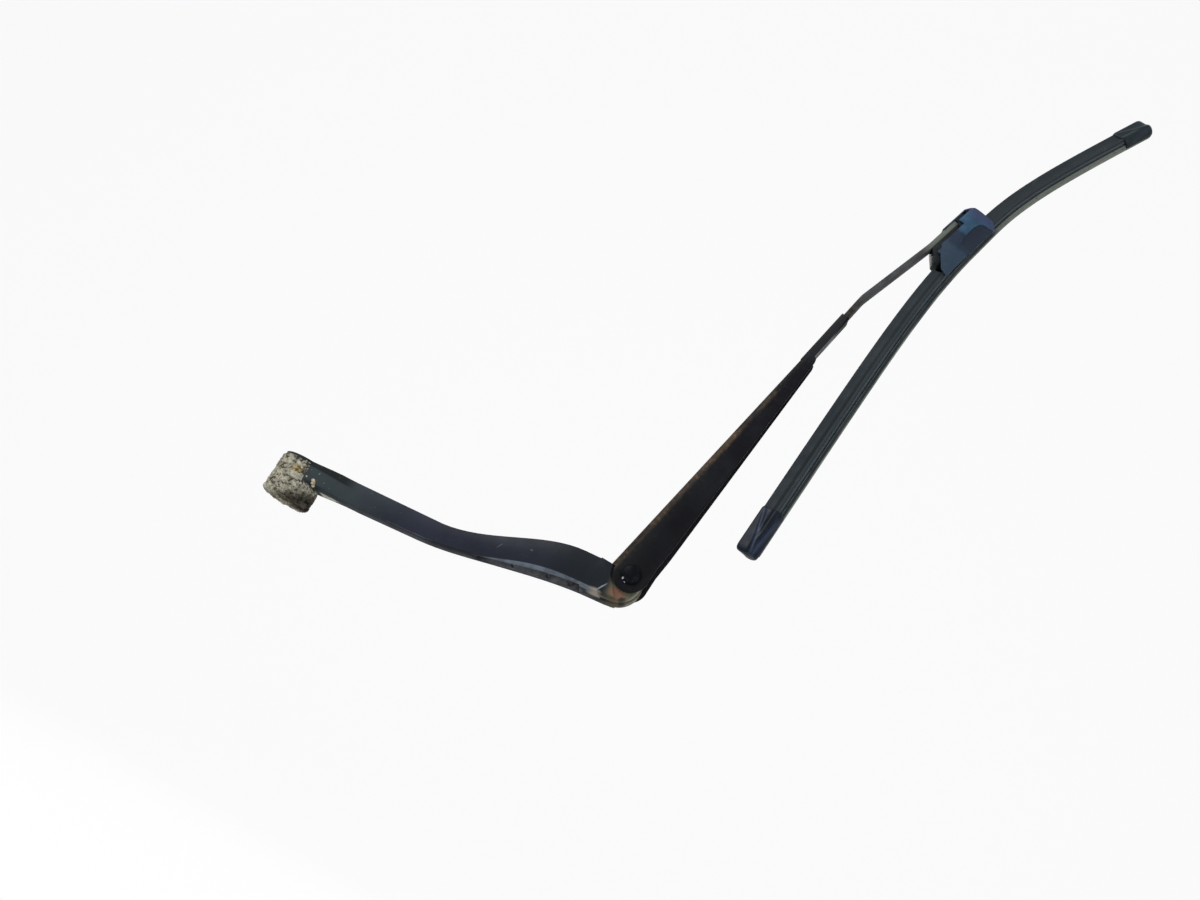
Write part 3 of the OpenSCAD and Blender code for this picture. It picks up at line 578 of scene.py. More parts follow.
# %% Crumbs, mud in the bore and specks
crumbs = made.times(
    facing_down, made.span(made.x, 16, 19), made.span(made.x, 36, 26), made.span(made.y, 1, 5),
    made.span(made.noise(3, 4), 0.36, 0.5),
)
made.tint(crumbs, "a9a79d")
from_axis = made.raw("ADD", made.raw("MULTIPLY", made.x, made.x), made.raw("MULTIPLY", made.y, made.y))
bore_mud = made.times(made.span(from_axis, 52, 46), made.span(made.z, -4, -8))
made.tint(bore_mud, "4b4538")
specks = made.times(made.span(made.noise(2.2, 3), 0.68, 0.74), made.span(made.x, 90, 20, 0.05, 1))
made.tint(specks, "77725f")
head_paint = made.done(
    rough=made.raw("ADD", made.span(made.noise(9, 4), 0.3, 0.75, 0.34, 0.46), made.times(film, 0.2)),
    bump=[(made.noise(1.1, 3), 0.05), (made.noise(9, 3), 0.12)],
    specular=made.span(made.facing_up, -0.9, -0.6, 0.01, 0.08),
)
print("head paint made")

# %% [markdown]
# ## The channel's paint
#
# The channel is pressed from sheet steel and painted black. Its paint has gone along the top corner, where
# stones strike it, and rust and dust follow there in a ragged band. The band fades past the middle of the
# channel and near the hinge, and shows on the top face in patches only. The open rim below is painted
# darker, as shade.

# %% Channel paint
made = Finish("channel_paint", CHANNEL)
made.base(made.span(made.noise(25, 4), 0.35, 0.7), "101014", "18191c")
made.tint(made.span(made.x, 110, 50, 0, 0.6), "08080b")
along = made.either(made.span(made.x, 200, 150), made.times(made.span(made.x, 262, 205), 0.35))
top_patches = made.span(made.noise(16, 7, (0.3, 1, 1), 0.65), 0.44, 0.56, 0.05, 1.0)
band = made.times(
    made.span(made.z, 9.4, 12.8), made.span(made.noise(9, 6, (0.35, 1, 1)), 0.36, 0.6, 0.35, 1.0), along,
    made.either(made.span(made.y, -7, -9.5), top_patches), made.span(made.x, 20, 90, 0.4, 1),
)
made.tint(band, "433a2f")
flakes = made.times(band, made.span(made.noise(3, 6), 0.48, 0.64))
made.tint(flakes, "5f4737")
dust = made.times(made.span(made.noise(4, 6), 0.5, 0.8), made.span(made.z, 2, 15, 0.03, 0.35))
made.tint(dust, "3c3a35")
made.tint(made.span(made.x, 205, 216), "202123")
RIM_SLOPE, RIM_AT = 0.0844, -11.3
above_rim = made.raw("SUBTRACT", made.z, made.raw("MULTIPLY", made.x, RIM_SLOPE))
# The open rim is painted darker, as shade.
rim_shade = made.span(above_rim, RIM_AT + 0.3, RIM_AT - 0.3)
made.tint(rim_shade, "121215")
channel_paint = made.done(
    rough=made.raw("ADD", made.span(made.noise(12, 4), 0.3, 0.75, 0.32, 0.44), made.times(band, 0.4)),
    bump=[(made.noise(1.6, 4), 0.05), (made.times(band, made.noise(1.8, 6)), 0.25)],
    specular=made.span(rim_shade, 0, 1, 0.05, 0.01),
)
print("channel paint made")

# %% [markdown]
# ## The bar and the small steel pieces
#
# The bar has lost its gloss and is grey with dust, browner at the neck where it leaves the channel and paler
# towards its hook. The rivet is painted with the arm; two bright spots on the head that faces us are partly
# bare chips and partly a painted highlight. The spring, its hook and the pins are hidden for the most part:
# they are bare, dull steel, and the bushes are sintered bronze.

# %% Bar paint
made = Finish("bar_paint", CHANNEL)
made.base(made.span(made.noise(7, 6, (0.4, 1, 1)), 0.3, 0.7, 0.3, 1.0), "222326", "434445")
made.tint(made.span(made.noise(2.4, 6), 0.6, 0.72), "211e1b")
neck = made.times(
    made.span(made.x, 286, 262), made.span(made.x, 246, 254), made.span(made.noise(4, 4), 0.3, 0.6)
)
made.tint(neck, "241f18")
made.tint(made.times(made.span(made.x, 335, 350), 0.7), "63675f")
bar_paint = made.done(rough=0.6, bump=[(made.noise(1.4, 5), 0.07)])

# %% Rivet paint
made = Finish("rivet_paint")
made.base(made.span(made.noise(3, 5), 0.5, 0.7), "090b0e", "15171a")
near_head = made.span(made.y, 1, -1)
# Two bright spots on the near head: partly bare chips, partly a painted highlight.
made.tint(made.times(made.blob(236.0, 35.2, 1.2, 0.8, 0.8), near_head), "c3c8cc")
made.tint(made.times(made.blob(234.2, 37.6, 0.7, 0.8, 0.8), near_head), "8b9093")
rivet_paint = made.done(
    rough=made.span(made.noise(2, 4), 0.3, 0.7, 0.3, 0.45), bump=[(made.noise(1.2, 4), 0.02)], specular=0.03
)

# %% Steel and bronze
made = Finish("dull_steel")
stain = made.span(made.noise(4, 6), 0.42, 0.66)
made.base(stain, "8c8c8a", "5d4f43")
dull_steel = made.done(
    rough=made.span(made.noise(3, 4), 0.3, 0.7, 0.35, 0.6), bump=[(made.noise(0.8, 4), 0.03)],
    metal=made.raw("SUBTRACT", 0.9, made.times(stain, 0.6)),
)

made = Finish("bronze")
made.base(made.span(made.noise(2, 5), 0.4, 0.7), "a08d5e", "6d6048")
bronze = made.done(rough=0.5, metal=0.7, bump=[(made.noise(0.5, 3), 0.02)])
print("metal finishes made")

# %% [markdown]
# ## The moulded pieces
#
# The adapter's cover is dark blue-grey plastic. Its arch is painted paler than its cheeks, as light, and its
# sunk panel darker, as shade. The base and the clip are plain black. The end caps are a smooth, bluer black,
# with a painted highlight along their ridges: each cap carries a UV layer that says how near a point is to a
# ridge.

# %% Cover
made = Finish("cover_plastic", ADAPTER)
made.base(made.span(made.noise(12, 4), 0.3, 0.7), "1b2431", "232e3c")
# The arch is painted paler, as light.
arch_light = made.times(made.span(made.x, -11, -7.5), made.span(made.noise(7, 3), 0.3, 0.7, 0.6, 1))
made.tint(arch_light, "2f495e")
made.tint(made.times(made.span(made.x, 3, 13), 0.85), "32364e")
made.tint(made.times(made.span(made.x, -21, -25), 0.8), "2a3744")
made.tint(made.times(made.span(made.x, -10, -12), made.span(made.y, 2, 4)), "12171c")
# The sunk panel is painted darker, as shade.
cheek = made.times(made.span(made.raw("ABSOLUTE", made.y, 0), 9.36, 9.24), made.span(made.z, -5.5, -6.5))
sunk_panel_shade = made.either(cheek, made.span(made.z, -15, -16.5))
made.tint(made.times(sunk_panel_shade, made.span(made.x, -19, -18), made.span(made.x, 8.4, 7.6)), "1d242e")
made.tint(made.span(made.noise(2.6, 6), 0.62, 0.76, 0, 0.4), "4b5055")
cover_plastic = made.done(
    rough=made.span(made.noise(6, 4), 0.3, 0.7, 0.38, 0.52), bump=[(made.noise(0.45, 3), 0.02)]
)

# %% Base and caps
made = Finish("base_plastic", ADAPTER)
made.base(made.span(made.noise(6, 5), 0.35, 0.7), "0d1013", "171b1f")
made.tint(made.span(made.noise(1.8, 6), 0.62, 0.76, 0, 0.6), "33332f")
base_plastic = made.done(rough=0.5, bump=[(made.noise(0.5, 3), 0.02)])

made = Finish("cap_plastic", BLADE)
ridge = made.layer("cap_line")[0]
made.base(made.span(made.noise(10, 4), 0.3, 0.7), "0d121a", "131a26")
# A painted highlight along the ridges.
made.tint(made.times(ridge, 0.65), "303b4e")
made.tint(made.span(made.x, 100, 120, 0, 0.7), "1e2628")
made.tint(made.span(made.noise(2.2, 6), 0.64, 0.78, 0, 0.4), "30353d")
cap_plastic = made.done(
    rough=made.span(made.noise(5, 4), 0.3, 0.7, 0.3, 0.42), bump=[(made.noise(0.5, 3), 0.02)]
)
print("plastic finishes made")

# %% [markdown]
# ## The rubber of the blade
#
# The spoiler is rubber that has gone dull and a little green, with handling marks along it; the hollow of its
# flank is painted darker, as shade. The wiping rubber is paler where dust has dried on its lip. Its back is
# painted paler, as light, against the shadow under the skirt, and on the inner half a painted highlight runs
# along its wing as a thin pale line. Each strip carries a UV layer with a point's depth below the crest, so
# that marks follow the curved blade.

# %% Rubber finishes
DEPTH_UNIT = 20
LENGTH_UNIT = 500

made = Finish("spoiler_rubber", BLADE)
depth = made.raw("MULTIPLY", made.layer("blade_line")[1], DEPTH_UNIT)
made.base(made.span(made.noise(40, 4, (0.3, 1, 1)), 0.35, 0.7), "181e23", "21282b")
# The hollow of the flank is painted darker, as shade.
hollow_shade = made.times(made.span(depth, 5.0, 6.4), made.span(depth, 8.7, 8.3))
made.tint(made.times(hollow_shade, 0.45), "14181a")
made.tint(made.span(depth, 8.5, 9.0), "252b2f")
handled = made.times(made.span(made.noise(9, 6, (0.5, 1, 1)), 0.58, 0.74), made.noise(2.0, 5))
made.tint(handled, "434943")
made.tint(made.span(made.noise(1.4, 4), 0.72, 0.8, 0, 0.6), "5a5b50")
spoiler_rubber = made.done(
    rough=made.span(made.noise(12, 4), 0.3, 0.7, 0.48, 0.62), bump=[(made.noise(0.6, 3), 0.03)]
)

made = Finish("wiping_rubber", BLADE)
depth = made.raw("MULTIPLY", made.layer("blade_line")[1], DEPTH_UNIT)
outer_half = made.span(made.x, 10, 20)
# The back and upper neck are painted paler, as light, against the shadow under the skirt.
made.base(made.span(depth, 12.3, 12.6), "4b5154", "262b2d")
made.tint(made.times(made.span(made.noise(14, 6, (0.25, 1, 1)), 0.4, 0.7), 0.5), "3d4143")
# A painted highlight along the wing's edge, on the inner half.
wing_highlight = made.times(
    made.span(depth, 12.7, 12.9), made.span(depth, 13.5, 13.3), made.span(outer_half, 1, 0),
    made.span(made.noise(8, 4), 0.3, 0.6, 0.3, 0.9),
)
made.tint(wing_highlight, "5a6265")
torn = made.span(made.noise(11, 6, (0.3, 1, 1)), 0.28, 0.58, 0.3, 1)
tip_dust = made.times(made.span(depth, 15.2, 15.9), torn)
outer_dust = made.times(made.span(depth, 13.2, 13.5), outer_half, made.span(torn, 0, 1, 0.4, 0.8))
dust = made.either(tip_dust, outer_dust)
made.tint(dust, "6f726a")
made.tint(made.times(dust, made.span(made.noise(2.6, 5), 0.58, 0.74)), "3c3a36")
wiping_rubber = made.done(rough=0.72, bump=[(made.noise(0.9, 4), 0.05)])
print("rubber finishes made")

# %% [markdown]
# ## Soil
#
# The soil on the boss has dried in lumps and cracks, with straw and pebbles in it. Its relief is real
# geometry, made further down, and each point keeps its height in a UV layer. So this finish paints shade into
# the cracks and lightens the tops, whatever the light. Noise adds the grain, stretched noise the bits of
# straw in one patch, and Voronoi cells the pebbles. One lower corner is painted dark, as shade.

# %% Soil finish
made = Finish("soil")
height = made.layer("soil_height")[0]
made.base(made.span(made.noise(6, 5, rough=0.6), 0.38, 0.62), "7d796a", "a09c8c")
# Painted shade in the cracks, where the relief is low; paler where it is high.
made.tint(made.times(made.span(height, 0.59, 0.42), 0.9), "332e25")
made.tint(made.times(made.span(height, 0.68, 0.84), 0.8), "b0ac9b")
made.tint(made.times(made.span(made.noise(1.8, 8, rough=0.72), 0.46, 0.34), 0.8), "3a342a")
patch = made.times(made.blob(2.2, 5.6, 3.6, 3.2, 3), made.span(made.y, 1, -1))
straw = made.times(patch, made.span(made.noise(0.9, 5, (0.5, 1.4, 1.2)), 0.48, 0.56))
made.tint(straw, "9c8650")
moss = made.times(patch, made.span(made.noise(2.4, 4), 0.52, 0.6), 0.7)
made.tint(moss, "64633c")
pebbles = made.times(made.span(made.grit(1.9), 0.2, 0.13), made.span(made.noise(4, 3), 0.56, 0.63))
made.tint(pebbles, "cbbfa8")
# One lower corner is painted dark, as shade, and the bottom edge a little.
CORNER_SLOPE = 0.6
to_corner = made.raw("SUBTRACT", made.raw("MULTIPLY", made.x, CORNER_SLOPE), made.z)
torn = made.raw("MULTIPLY", made.raw("SUBTRACT", made.noise(3, 6), 0.5), 14)
corner_shade = made.times(made.span(made.raw("ADD", to_corner, torn), 11, 17.5), made.span(made.y, 14, 6), 0.84)
shaded = made.times(made.span(made.z, -12.6, -13.8), made.span(made.x, -8, 2), 0.25)
made.tint(made.either(corner_shade, shaded), "1c1712")
soil = made.done(
    rough=0.95, specular=0.02,
    bump=[(made.noise(2.0, 8, rough=0.7), 0.9), (made.noise(0.8, 6, rough=0.7), 0.5), (made.grit(1.1), 0.3)],
)

# %% Clod finish
made = Finish("clod")
made.base(made.span(made.noise(2, 5), 0.35, 0.65), "857a66", "b3a68f")
clod_soil = made.done(rough=0.95, specular=0.02, bump=[(made.noise(0.8, 6, rough=0.7), 0.4)])
print("soil made")

# %% [markdown]
# ## Edges of the metal and moulded pieces
#
# The solids of the head, the channel, the bar, the hook and the adapter have the right shapes, but their
# edges are mathematically sharp, and a real casting, pressing or moulding never is. One way is to model
# each again; the shorter one is to copy the solid, melt its loose triangles into whole faces, and bevel
# every edge that is sharper than a set angle, by the radius that its way of making gives.

# %% Rounded copies of the solids
SAME_POINT = 0.000002
FLAT_WITHIN = 1.0
SHARP_FROM = 28


def rounded(node, name, width, steps=2):
    """A copy of a solid with its sharp edges rounded by a width in millimetres."""
    obj = bpy.data.objects.new(name, frame["nodes"][node].data.copy())
    obj.data.name = name
    bpy.context.collection.objects.link(obj)
    only(obj)
    bpy.ops.object.mode_set(mode="EDIT")
    bpy.ops.mesh.select_all(action="SELECT")
    bpy.ops.mesh.remove_doubles(threshold=SAME_POINT)
    bpy.ops.mesh.dissolve_limited(angle_limit=math.radians(FLAT_WITHIN))
    bpy.ops.object.mode_set(mode="OBJECT")
    modify(
        obj, "BEVEL", width=width * MM, segments=steps, limit_method="ANGLE",
        angle_limit=math.radians(SHARP_FROM), use_clamp_overlap=True, miter_outer="MITER_ARC",
    )
    smooth(obj, 40)
    return obj


head = rounded("head", "cast_head", 0.5)
finish(head, "root", "head_paint", head_paint, "head")
channel = rounded("channel", "pressed_channel", 0.22)
finish(channel, "arm", "channel_paint", channel_paint, "channel")
bar = rounded("arm_rod", "flat_bar", 0.7, 3)
finish(bar, "arm", "bar_steel", bar_paint, "arm_rod")
clip = rounded("adapter_clip", "clip", 0.35)
finish(clip, "arm", "base_plastic", base_plastic, "adapter_clip")
cover = rounded("adapter_cover", "cover", 0.3)
finish(cover, "arm", "adapter_plastic", cover_plastic, "adapter_cover")
base = rounded("connector_base", "blade_base", 0.3)
finish(base, "blade", "base_plastic", base_plastic, "connector_base")
hook = rounded("spring_hook", "pull_hook", 0.3)
finish(hook, "hook", "bright_steel", dull_steel, "spring_hook")

# %% [markdown]
# ## Pieces that keep their solids
#
# The bushes, pins and the blade's two flat springs are plain turned and rolled pieces. Their solids are
# already their whole shape, so they only get a finish.

# %% Finishes on the solids that stay
for node, material in {
    "bush_near": bronze, "bush_far": bronze, "spring_pin": dull_steel, "connector_pin": dull_steel,
    "spine_left": dull_steel, "spine_right": dull_steel,
}.items():
    mesh = frame["nodes"][node].data
    mesh.materials.clear()
    mesh.materials.append(material)
print("six solids dressed")

# %% [markdown]
# ## Room for the soil
#
# The soil sits on the boss as a thick crust. If it were only laid on, the boss would grow too large, so the
# boss's wall is first drawn in by less than a millimetre, wherever soil will cover it.

# %% Draw the boss in
BOSS_R, SKIN_R = 16.5 * MM, 15.8 * MM
DRAWN_IN_R = SKIN_R - 0.1 * MM
SOIL_TOP, BELOW_BEAM = 14 * MM, -12 * MM
BEAM_HALF_ANGLE = 62
BOTTOM_FROM, BOTTOM_TO = -13 * MM, -13.5 * MM
for corner in head.data.vertices:
    p = corner.co
    radius = math.hypot(p.x, p.y)
    around = abs(math.degrees(math.atan2(p.y, p.x)))
    on_wall = SKIN_R < radius < BOSS_R + 0.01 * MM and p.x < BOSS_R and p.z < SOIL_TOP
    if on_wall and (around > BEAM_HALF_ANGLE or p.z < BELOW_BEAM):
        p.xy *= DRAWN_IN_R / radius
    if p.z < BOTTOM_FROM:
        p.z = max(p.z, BOTTOM_TO)
print("boss drawn in to", round(DRAWN_IN_R / MM, 2), "mm")

# %% [markdown]
# ## How high the soil lies
#
# Two functions say it. One is the cover: full on the near side, thinner on the far side, and nothing on the
# top rim or where the beam leaves. The other is the relief: lumps of three sizes, parted by cracks. A crack
# is where a noise value passes through zero, which it does along winding lines.

# %% Cover and relief
BEAM_EDGE, BEAM_FADE = 56, 10
RIM_EDGE, RIM_FADE = 14.6 * MM, 1.6 * MM
FOOT_EDGE, FOOT_FADE = 1 * MM, 1.5 * MM
FAR_SIDE_LESS = 0.4
LUMPS = ((8.5, 0.36, (3, 3, 1)), (3.6, 0.42, (7, 1, 3)), (1.3, 0.26, (1, 9, 4)))
FLATTEN = 1.6
WARP_SHIFTS = ((11, 0, 0), (0, 11, 0), (0, 0, 11))


def share(value):
    return min(1, max(0, value))


def soil_cover(p):
    """How much soil lies at a point of the boss's side, 0 to 1."""
    around = math.degrees(math.atan2(p.y, p.x))
    far_side = max(0, math.sin(math.radians(around)))
    below_rim = share((RIM_EDGE - p.z) / RIM_FADE)
    off_beam = share((abs(around) - BEAM_EDGE) / BEAM_FADE)
    if p.z < FOOT_EDGE:
        off_beam = max(off_beam, share((FOOT_EDGE - p.z) / FOOT_FADE))
    return (1 - FAR_SIDE_LESS * far_side) * below_rim * off_beam


def relief(p):
    """Height of the soil, 0 to about 1, from lumps of three sizes that winding cracks part."""
    q = Vector((p.x, p.y, p.z * FLATTEN)) * 1000
    lumps = sum(part * (noise.noise(q / size + Vector(shift)) * 0.5 + 0.5) for size, part, shift in LUMPS)
    warp = Vector([noise.noise(q / 3 + Vector(shift)) for shift in WARP_SHIFTS]) * 0.4
    crack = min(1, abs(noise.noise(q / 4.4 + warp)) * 5)
    fine_crack = min(1, abs(noise.noise(q / 1.9 + warp + Vector((5, 5, 5)))) * 4)
    return lumps * (0.5 + 0.3 * crack + 0.25 * fine_crack) * 1.25


print("relief beside the boss", round(relief(Vector((0, -SKIN_R, 0))), 2))

# %% [markdown]
# ## The soil on the boss
#
# The crust is a thick skin of its own round the boss. Sculpting it by hand would be the other way, but it
# would not come out the same twice. The outline of its wall is spun about the spindle, which leaves the bore
# open. It starts just outside the drawn-in metal, and each corner is then moved out by cover times relief.

# %% Spin the crust and raise it
CRUST_STEP = 0.36
BORE_R = 6.3
wall = [(14.6, 0, 15.0), (15.2, 0, 14.7)] + [(SKIN_R / MM, 0, 14.3 - CRUST_STEP * i) for i in range(77)]
wall += [(15.6, 0, -13.3)] + [(15.2 - CRUST_STEP * i, 0, -13.6) for i in range(25)]
wall += [(BORE_R, 0, -13.5), (BORE_R, 0, -12.6), (14.6, 0, -12.6)]
crust = outline("soil_crust", wall)
bpy.ops.mesh.delete(type="ONLY_FACE")
bpy.ops.mesh.select_mode(type="EDGE")
bpy.ops.mesh.select_all(action="SELECT")
bpy.ops.mesh.spin(steps=280, angle=math.tau, axis=(0, 0, 1), center=(0, 0, 0))
closed()
SIDE_FROM_R, SIDE_FROM_Z, BOTTOM_BELOW = 15.5 * MM, -13.2 * MM, -13.25 * MM
LEAST_LIMIT, MORE_AT_ENDS = 1.25, 1.0
heights = []
for corner in crust.data.vertices:
    p = corner.co
    radius = math.hypot(p.x, p.y)
    outward = Vector((p.x, p.y, 0)) / radius
    height = relief(p)
    heights.append(height)
    if radius > SIDE_FROM_R and p.z > SIDE_FROM_Z:
        limit = LEAST_LIMIT + MORE_AT_ENDS * outward.x ** 2
        p += outward * soil_cover(p) * min(limit, height * limit * 1.3) * MM
    elif p.z < BOTTOM_BELOW:
        edge = share((radius - BORE_R * MM) / (2 * MM))
        p += (outward * 0.6 * (radius > 15 * MM) + Vector((0, 0, -1))) * height * 1.6 * edge * MM
layer = crust.data.uv_layers.new(name="soil_height")
for loop in crust.data.loops:
    layer.data[loop.index].uv = (heights[loop.vertex_index], 0)
smooth(crust, 80)
finish(crust, "root", "head_paint", soil)

# %% [markdown]
# A few clods stick to the head beside the boss. Each is a small ball pulled out of round by noise, sunk a
# little into the metal it sits on.

# %% Clods
CLODS = [(15.6, -12.6, 3.0, 1.9), (17.0, -12.2, 0.9, 1.2), (9.6, -13.6, 4.4, 0.8), (4.0, -15.6, 8.0, 1.0)]
for number, (x, y, z, size) in enumerate(CLODS):
    bpy.ops.mesh.primitive_ico_sphere_add(subdivisions=4, radius=size * MM, location=(0, 0, 0))
    clod = bpy.context.object
    clod.name = f"clod_{number + 1}"
    for corner in clod.data.vertices:
        q = corner.co * 1000
        pull = 1 + 0.5 * noise.noise(q / 1.6 + Vector((number * 7, 0, 0))) + 0.25 * noise.noise(q / 0.6)
        corner.co = corner.co * pull
        corner.co.y *= 0.6
        corner.co += Vector((x, y, z)) * MM
    smooth(clod, 60)
    finish(clod, "root", "head_paint", clod_soil)

# %% [markdown]
# ## The rivet
#
# The rivet is one turned shank with two domed heads, like anything made on a lathe. So its profile is drawn
# as an open line along one side, from crown to crown, and spun once about the hinge axis. Each dome is a
# quarter of an ellipse that stands on a short, steep flank.

# %% Spin the rivet
SHANK_R, SEAT_AT = 3.45, 12.91
RIVET_HEAD_R, RIVET_HEAD_H = 7.0, 2.6
FLANK = 0.35
DOME_STEPS = 12
profile = [(0, SHANK_R), (SEAT_AT, SHANK_R), (SEAT_AT, RIVET_HEAD_R - 0.3), (SEAT_AT + FLANK, RIVET_HEAD_R)]
for i in range(1, DOME_STEPS + 1):
    rise = math.radians(90 * i / DOME_STEPS)
    across = max(0.02, (RIVET_HEAD_R - 0.05) * math.cos(rise))
    profile.append((SEAT_AT + FLANK + (RIVET_HEAD_H - 0.4) * math.sin(rise), across))
near_half = [(r, -y, 0) for y, r in reversed(profile)]
far_half = [(r, y, 0) for y, r in profile[1:]]
rivet = outline("rivet", near_half + far_half)
bpy.ops.mesh.delete(type="ONLY_FACE")
bpy.ops.mesh.select_mode(type="EDGE")
bpy.ops.mesh.select_all(action="SELECT")
bpy.ops.mesh.spin(steps=64, angle=math.tau, axis=(0, 1, 0), center=(0, 0, 0))
closed()
smooth(rivet, 40)
lay(rivet, Matrix.Translation(knuckle))
finish(rivet, "root", "channel_paint", rivet_paint, "pivot_rivet")

# %% [markdown]
# ## The tension spring
#
# The arm's spring is one wire: a loop in the hook, a close coil, and a loop in the bar's hole, turned by
# a quarter. The wire's middle line is computed point by point, as a curve with a round bevel, because a
# curve keeps the wire round all along. It is made a mesh at the end.

# %% Wind the spring
WIRE = 1.8
LOOP_R, COIL_R = 5.0, 4.3
HOOK_REACH = 27.0
TURNS, POINTS_A_TURN, LOOP_POINTS = 24.25, 28, 40
hook_pin = joint_at["hook_swing"]
anchor = joint_at["spring_swing"]
pull = anchor - hook_pin
span_mm = pull.length / MM
reach = math.sqrt(LOOP_R * LOOP_R - COIL_R * COIL_R)
start, end = HOOK_REACH + LOOP_R + reach, span_mm - LOOP_R - reach
gap_angle = math.asin(COIL_R / LOOP_R)
line = []
for i in range(LOOP_POINTS):
    a = -gap_angle + (2 * gap_angle - math.tau) * i / LOOP_POINTS
    line.append((HOOK_REACH + LOOP_R + LOOP_R * math.cos(a), LOOP_R * math.sin(a), 0))
steps = int(TURNS * POINTS_A_TURN)
for i in range(steps + 1):
    a = math.tau * TURNS * i / steps
    line.append((start + (end - start) * i / steps, COIL_R * math.cos(a), COIL_R * math.sin(a)))
for i in range(1, LOOP_POINTS + 1):
    a = math.pi - gap_angle + (2 * gap_angle - math.tau) * i / LOOP_POINTS
    line.append((span_mm - LOOP_R + LOOP_R * math.cos(a), 0, LOOP_R * math.sin(a)))
print("spring from pin to anchor", round(span_mm, 2), "mm,", len(line), "points")

# %% Give the wire its thickness
wire = bpy.data.curves.new("coil_spring", "CURVE")
wire.dimensions = "3D"
wire.bevel_depth = WIRE / 2 * MM
wire.bevel_resolution = 2
wire.use_fill_caps = True
path = wire.splines.new("POLY")
path.points.add(len(line) - 1)
for spot, point in zip(path.points, line):
    spot.co = (*(Vector(point) * MM), 1)
spring = bpy.data.objects.new("coil_spring", wire)
bpy.context.collection.objects.link(spring)
only(spring)
bpy.ops.object.convert(target="MESH")
spring = bpy.context.object
smooth(spring, 60)
lay(spring, leaning(hook_pin, math.degrees(math.atan2(pull.z, pull.x))))
finish(spring, "spring", "bright_steel", dull_steel, "tension_spring")

# %% [markdown]
# ## The blade's line
#
# All strips of the blade follow one curved line: flat over the base, and bending down to a steady slope
# at each end. A section is drawn once and extruded along the line, moved to each station and turned
# square to it. The inner end reaches 312 mm from the pin and the outer one 180 mm.

# %% The line
CREST = -4.5
FLAT = 14
INNER_SLOPE, INNER_BEND = 0.1745, 85
OUTER_SLOPE, OUTER_BEND = 0.28, 67


def side_of(x):
    """The steady slope at the end of a station's side, and the length over which the side bends to it."""
    return (INNER_SLOPE, INNER_BEND) if x < 0 else (OUTER_SLOPE, OUTER_BEND)


def drop(x):
    """How far the line has come down at a station."""
    slope, bend = side_of(x)
    u = max(0, abs(x) - FLAT)
    return slope * bend * math.log(math.cosh(u / bend))


def lean(x):
    """The line's angle at a station, positive where it climbs."""
    slope, bend = side_of(x)
    u = max(0, abs(x) - FLAT)
    return math.copysign(math.atan(slope * math.tanh(u / bend)), -x)


def crest(x):
    return Vector((x, 0, CREST - drop(x)))


def stations(start, end, step=6):
    count = max(1, math.ceil(abs(end - start) / step))
    return [start + (end - start) * i / count for i in range(count + 1)]


print("inner end drops", round(drop(-312), 1), "mm, outer end", round(drop(180), 1), "mm")

# %% [markdown]
# The strip maker is tried on a short strip first: its last corner has to be where the line says.

# %% The strip maker
WAIST = -9


def at_station(x, y, z, scale=1.0):
    """Where a point of the section lies at a station. The section may be scaled about its waist."""
    a = lean(x)
    h = WAIST + scale * (z - WAIST)
    return crest(x) + Vector((-h * math.sin(a), scale * y, h * math.cos(a)))


def strip(name, section, xs):
    """Extrudes a section of width and depth along the blade's line."""
    obj = outline(name, [at_station(xs[0], y, z) for y, z in section])
    for here, there in zip(xs, xs[1:]):
        push(crest(there) - crest(here))
        swing(math.degrees(lean(there) - lean(here)), crest(there))
    closed()
    return obj


def line_layer(obj):
    """Writes each corner's place along the blade and its depth below the crest into a UV layer."""
    layer = obj.data.uv_layers.new(name="blade_line")
    for loop in obj.data.loops:
        p = obj.data.vertices[loop.vertex_index].co / MM
        depth = (CREST - drop(p.x) - p.z) * math.cos(lean(p.x))
        layer.data[loop.index].uv = (p.x / LENGTH_UNIT, depth / DEPTH_UNIT)


def both_sides(half):
    return half + [(-y, z) for y, z in reversed(half)]


test = strip("line_test", both_sides([(1, -2), (1, 0)]), stations(16, 176))
far = max(test.data.vertices, key=lambda v: v.co.x).co / MM
print("strip ends at", [round(v, 2) for v in far], "line says", [round(v, 2) for v in at_station(176, 1, 0)])
bpy.data.objects.remove(test)

# %% [markdown]
# ## Spoilers
#
# The spoiler is an extruded rubber fin. From its thin crest its flanks run down in a hollow curve to a
# shoulder, and a skirt wraps the two flat springs and the back of the wiping rubber. The section is drawn
# with the groove for the springs, and only edges sharper than 38 degrees stay sharp in the shading.

# %% Extrude the two spoilers
FIN = [
    (3.95, -10.7), (5.1, -10.65), (5.4, -10.35), (5.4, -8.75), (5.1, -8.2), (4.3, -7.55), (3.55, -6.95),
    (2.95, -6.2), (2.35, -5.0), (1.85, -3.6), (1.45, -2.2), (1.1, -0.9), (0.8, -0.25), (0.35, 0),
]
GROOVE = [(4.0, -10.05), (4.75, -10.05), (4.75, -8.95)]
CORE_IN, CORE_OUT = -308.6, 176.6
BASE_IN, BASE_OUT = -45, 16.1
spoiler_section = both_sides(FIN) + both_sides(GROOVE)[::-1]
for name, node, xs in (
    ("inner_spoiler", "spoiler_inner", stations(CORE_IN, BASE_IN)),
    ("outer_spoiler", "spoiler_outer", stations(BASE_OUT, CORE_OUT)),
):
    spoiler = strip(name, spoiler_section, xs)
    smooth(spoiler, 38)
    line_layer(spoiler)
    lay(spoiler, BLADE)
    finish(spoiler, "blade", "spoiler_rubber", spoiler_rubber, node)

# %% [markdown]
# ## The wiping rubber
#
# Under the springs hangs the wiping element: a back, a thin neck, two small wings and the lip that
# touches the glass. It is the same kind of strip, with a finer section.

